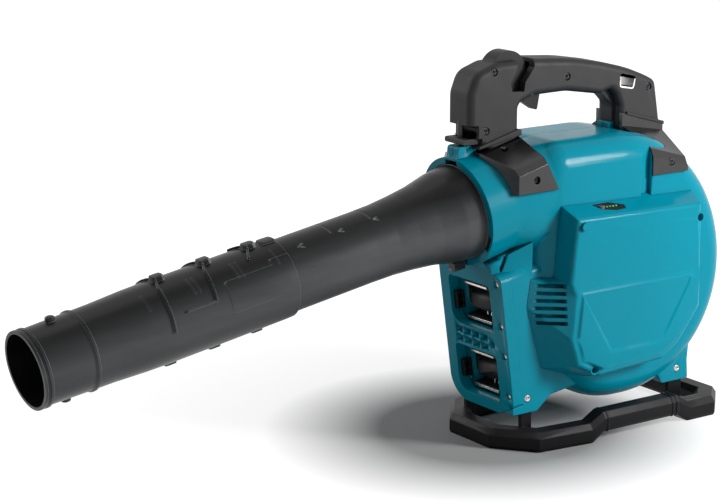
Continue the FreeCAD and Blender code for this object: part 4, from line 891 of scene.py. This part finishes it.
class BLOWER_OT_controls(bpy.types.Operator):
    """Makes the trigger, the speed lever, their pins, the switch and the spring"""

    bl_idname = "blower.controls"
    bl_label = "Trigger and speed lever"

    def execute(self, context):
        copies(("trigger", "trigger_pin", "trigger_switch", "speed_lever", "lever_pin"))
        low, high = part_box("trigger_spring")
        middle = [(low[0] + high[0]) / 2, (low[1] + high[1]) / 2]
        fixed, moving = (frame["nodes"][node]["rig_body"] for node in ("trigger_spring", "trigger"))
        bend = (fixed, moving, (*middle, high[2]), (*middle, low[2]))
        cad_copy("trigger_spring_piece", "trigger_spring", body=bend)
        return {"FINISHED"}


SIDE_BAR = 68.0             # distance of the stand's side bars from the middle plane
BAR_SECTION = np.array([(-9, 9), (9, 9), (11, 12), (11, 23), (7, 29), (-7, 29), (-11, 23), (-11, 12)])
BAR_MIDDLE = (0, 19)
BANDS = ((103.0, 2.5), (190.0, 2.5), (195.5, 3.5))      # start and width of each band on a side bar
BAND_GROWTH = np.array([0.975, 1.0, 1.0, 0.975]) * 1.055       # its section against the bar's
BAND_EDGE = 0.5


def band(start, side, wide):
    """Band round one of the stand's side bars: the bar's section carried along X, larger than the bar."""
    stops = np.array([start, start + BAND_EDGE, start + wide - BAND_EDGE, start + wide])
    points = np.empty((len(stops), len(BAR_SECTION), 3))
    points[..., 0] = stops[:, None]
    points[..., 1:] = (BAR_SECTION - BAR_MIDDLE) * BAND_GROWTH[:, None, None] + BAR_MIDDLE
    points[..., 1] += side * SIDE_BAR
    return surface(points * MM, wrap_columns=True, caps=True)


class BLOWER_OT_stand(bpy.types.Operator):
    """Makes the stand and the bands round its side bars"""

    bl_idname = "blower.stand"
    bl_label = "Stand"

    def execute(self, context):
        copies(("stand",), angle=12.0)
        bands = [band(start, side, wide) for side in (-1, 1) for start, wide in BANDS]
        body = frame["nodes"]["stand"]["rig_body"]
        show("stand_bands", mesh_of("stand_bands", bands, angle=20.0), body, "stand_plastic")
        return {"FINISHED"}


class BLOWER_OT_intake(bpy.types.Operator):
    """Makes the intake ring and the inlet cover with its hinge and knob"""

    bl_idname = "blower.intake"
    bl_label = "Air intake"

    def execute(self, context):
        copies(("intake_ring", "inlet_cover", "hinge_pin", "cover_knob"))
        return {"FINISHED"}


class BLOWER_OT_motor(bpy.types.Operator):
    """Makes the motor and the impeller"""

    bl_idname = "blower.motor"
    bl_label = "Motor and fan"

    def execute(self, context):
        copies(("motor_mount", "bearing_front", "motor_cap", "bearing_rear"))
        copies(("motor_stator", "motor_windings", "motor_rotor", "motor_shaft", "impeller", "impeller_nut"))
        return {"FINISHED"}


class BLOWER_OT_fasteners(bpy.types.Operator):
    """Makes the screws"""

    bl_idname = "blower.fasteners"
    bl_label = "Screws"

    def execute(self, context):
        copies(("cover_screws", "foot_screws", "stand_screws", "frame_screws", "handle_screws"))
        return {"FINISHED"}


# ---------------------------------------------------------------- stage

FLOOR_HALF = 14.0                       # metres
STANDING_PLACE = (0.03, 0.02, 0.0)      # round which the floor's glow is left out: the real shadow stays, and the floor is painted greyer round the object
PLAIN_LIGHT = 0.11                      # the world's strength on the object
MIDDLE = (0.10, 0.0, 0.16)

# Soft lamps: name, place, the point they face, width and height, watts.
LAMPS = (
    ("key_lamp", (0.56, -0.68, 0.53), MIDDLE, (0.24, 0.24), 5.0),
    ("side_lamp", (1.27, -1.60, 0.80), MIDDLE, (0.24, 1.10), 12.0),
    ("left_lamp", (-1.5, -1.8, 0.5), (-0.2, 0.0, 0.18), (0.5, 1.0), 3.0),
    ("top_lamp", (-0.3, 0.6, 2.2), MIDDLE, (1.2, 0.9), 4.0),
    ("rear_lamp", (-1.2, 2.0, 1.3), MIDDLE, (1.4, 1.2), 14.0),
)

CAMERA_PLACE = (-1.297, -1.660, 0.693)
CAMERA_TURN = -34.8                     # degrees round Z from looking along Y
CAMERA_DIP = 13.4                       # degrees below level
SENSOR_WIDTH = 36.0                     # millimetres


def soft_lamp(name, place, aim, size, power):
    """Rectangular lamp that faces a point and stands upright."""
    lamp = bpy.data.lights.new(name, "AREA")
    lamp.shape = "RECTANGLE"
    lamp.size, lamp.size_y = size
    lamp.energy = power
    panel = bpy.data.objects.new(name, lamp)
    panel.location = place
    way = np.subtract(aim, place)
    tilt = math.atan2(way[2], math.hypot(way[0], way[1]))
    heading = math.atan2(way[1], way[0])
    panel.rotation_euler = (math.pi / 2 + tilt, 0.0, heading - math.pi / 2)
    bpy.context.scene.collection.objects.link(panel)


def light_world():
    """White backdrop for the camera and for mirrors, and a softer even light for everything else."""
    world = bpy.data.worlds.new("studio")
    bpy.context.scene.world = world
    world.use_nodes = True
    tree = world.node_tree
    light = tree.nodes["Background"]
    plug(tree, light.inputs["Color"], (1.0, 1.0, 1.0))
    plug(tree, light.inputs["Strength"], PLAIN_LIGHT + Nodes(tree).seen() * (1.0 - PLAIN_LIGHT))


def floor_finish():
    """Pale floor that glows to white for the camera away from the object; near it the glow fades out, which
    keeps the real shadow and leaves the floor painted greyer round the object.
    """
    paint = Paint("floor_pale", Roughness=0.9, Specular_IOR_Level=0.0, Emission_Strength=1.0)
    offset = paint.node("VectorMath", {"operation": "SUBTRACT"}, {0: paint.place(), 1: STANDING_PLACE})
    far = paint.node("VectorMath", {"operation": "LENGTH"}, {0: offset}, output="Value")
    # Painted shade: the glow is left out within a few centimetres of the object, so the floor there stays
    # greyer also where it is lit.
    glow = paint.span(far, 0.11, 0.23, 0.0, 0.78) + paint.span(far, 0.23, 0.80, 0.0, 0.28)
    lift = paint.seen() * glow
    colour = paint.node("CombineColor", None, {0: lift, 1: lift, 2: lift})
    return paint.wear(Base_Color=tuple(colours().floor), Emission_Color=colour)


def make_floor():
    """Square floor at the height of 0, which isn't part of the object."""
    ends = np.array([-FLOOR_HALF, FLOOR_HALF])
    x, y = np.meshgrid(ends, ends)
    points, quads, _ = surface(np.stack([x, y, np.zeros_like(x)], axis=-1))
    mesh = bpy.data.meshes.new("floor")
    mesh.from_pydata(points.tolist(), [], quads[:, ::-1].tolist())
    mesh.materials.append(floor_finish())
    floor = bpy.data.objects.new("floor", mesh)
    bpy.context.scene.collection.objects.link(floor)


def make_camera():
    """Camera in front of the nozzle on the motor cover's side, looking a little down."""
    lens = bpy.data.cameras.new("camera")
    lens.lens = sizes().lens
    lens.sensor_width = SENSOR_WIDTH
    camera = bpy.data.objects.new("camera", lens)
    camera.location = CAMERA_PLACE
    camera.rotation_euler = (math.radians(90.0 - CAMERA_DIP), 0.0, math.radians(CAMERA_TURN))
    bpy.context.scene.collection.objects.link(camera)
    bpy.context.scene.camera = camera


class BLOWER_OT_stage(bpy.types.Operator):
    """Makes the floor, the lamps and the camera"""

    bl_idname = "blower.stage"
    bl_label = "Stage"

    def execute(self, context):
        make_floor()
        light_world()
        for lamp in LAMPS:
            soft_lamp(*lamp)
        make_camera()
        context.scene.view_settings.view_transform = "Standard"
        return {"FINISHED"}


# ---------------------------------------------------------------- panel and registration

PIECES = (BLOWER_OT_casing, BLOWER_OT_bays, BLOWER_OT_handle, BLOWER_OT_controls, BLOWER_OT_nozzle,
          BLOWER_OT_stand, BLOWER_OT_intake, BLOWER_OT_motor, BLOWER_OT_fasteners, BLOWER_OT_stage)


class BLOWER_PT_parts(bpy.types.Panel):
    """Lists the operators that make the pieces, and the sizes and colours they read"""

    bl_label = "Leaf blower"
    bl_space_type = "VIEW_3D"
    bl_region_type = "UI"
    bl_category = "Leaf blower"

    def draw(self, context):
        for piece in PIECES:
            self.layout.operator(piece.bl_idname)
        for group in (context.scene.blower_sizes, context.scene.blower_colours):
            for key in group.__annotations__:
                self.layout.prop(group, key)


CLASSES = (BlowerColours, BlowerSizes) + PIECES + (BLOWER_PT_parts,)


def register():
    """Makes the classes and their properties known."""
    for cls in CLASSES:
        bpy.utils.register_class(cls)
    bpy.types.Scene.blower_colours = PointerProperty(type=BlowerColours)
    bpy.types.Scene.blower_sizes = PointerProperty(type=BlowerSizes)


def unregister():
    """Takes them away again, in the opposite order."""
    del bpy.types.Scene.blower_sizes
    del bpy.types.Scene.blower_colours
    for cls in reversed(CLASSES):
        bpy.utils.unregister_class(cls)


def main():
    """Makes every piece and the stage."""
    register()
    for piece in PIECES:
        group, name = piece.bl_idname.split(".")
        getattr(getattr(bpy.ops, group), name)()


if __name__ == "__main__":
    main()
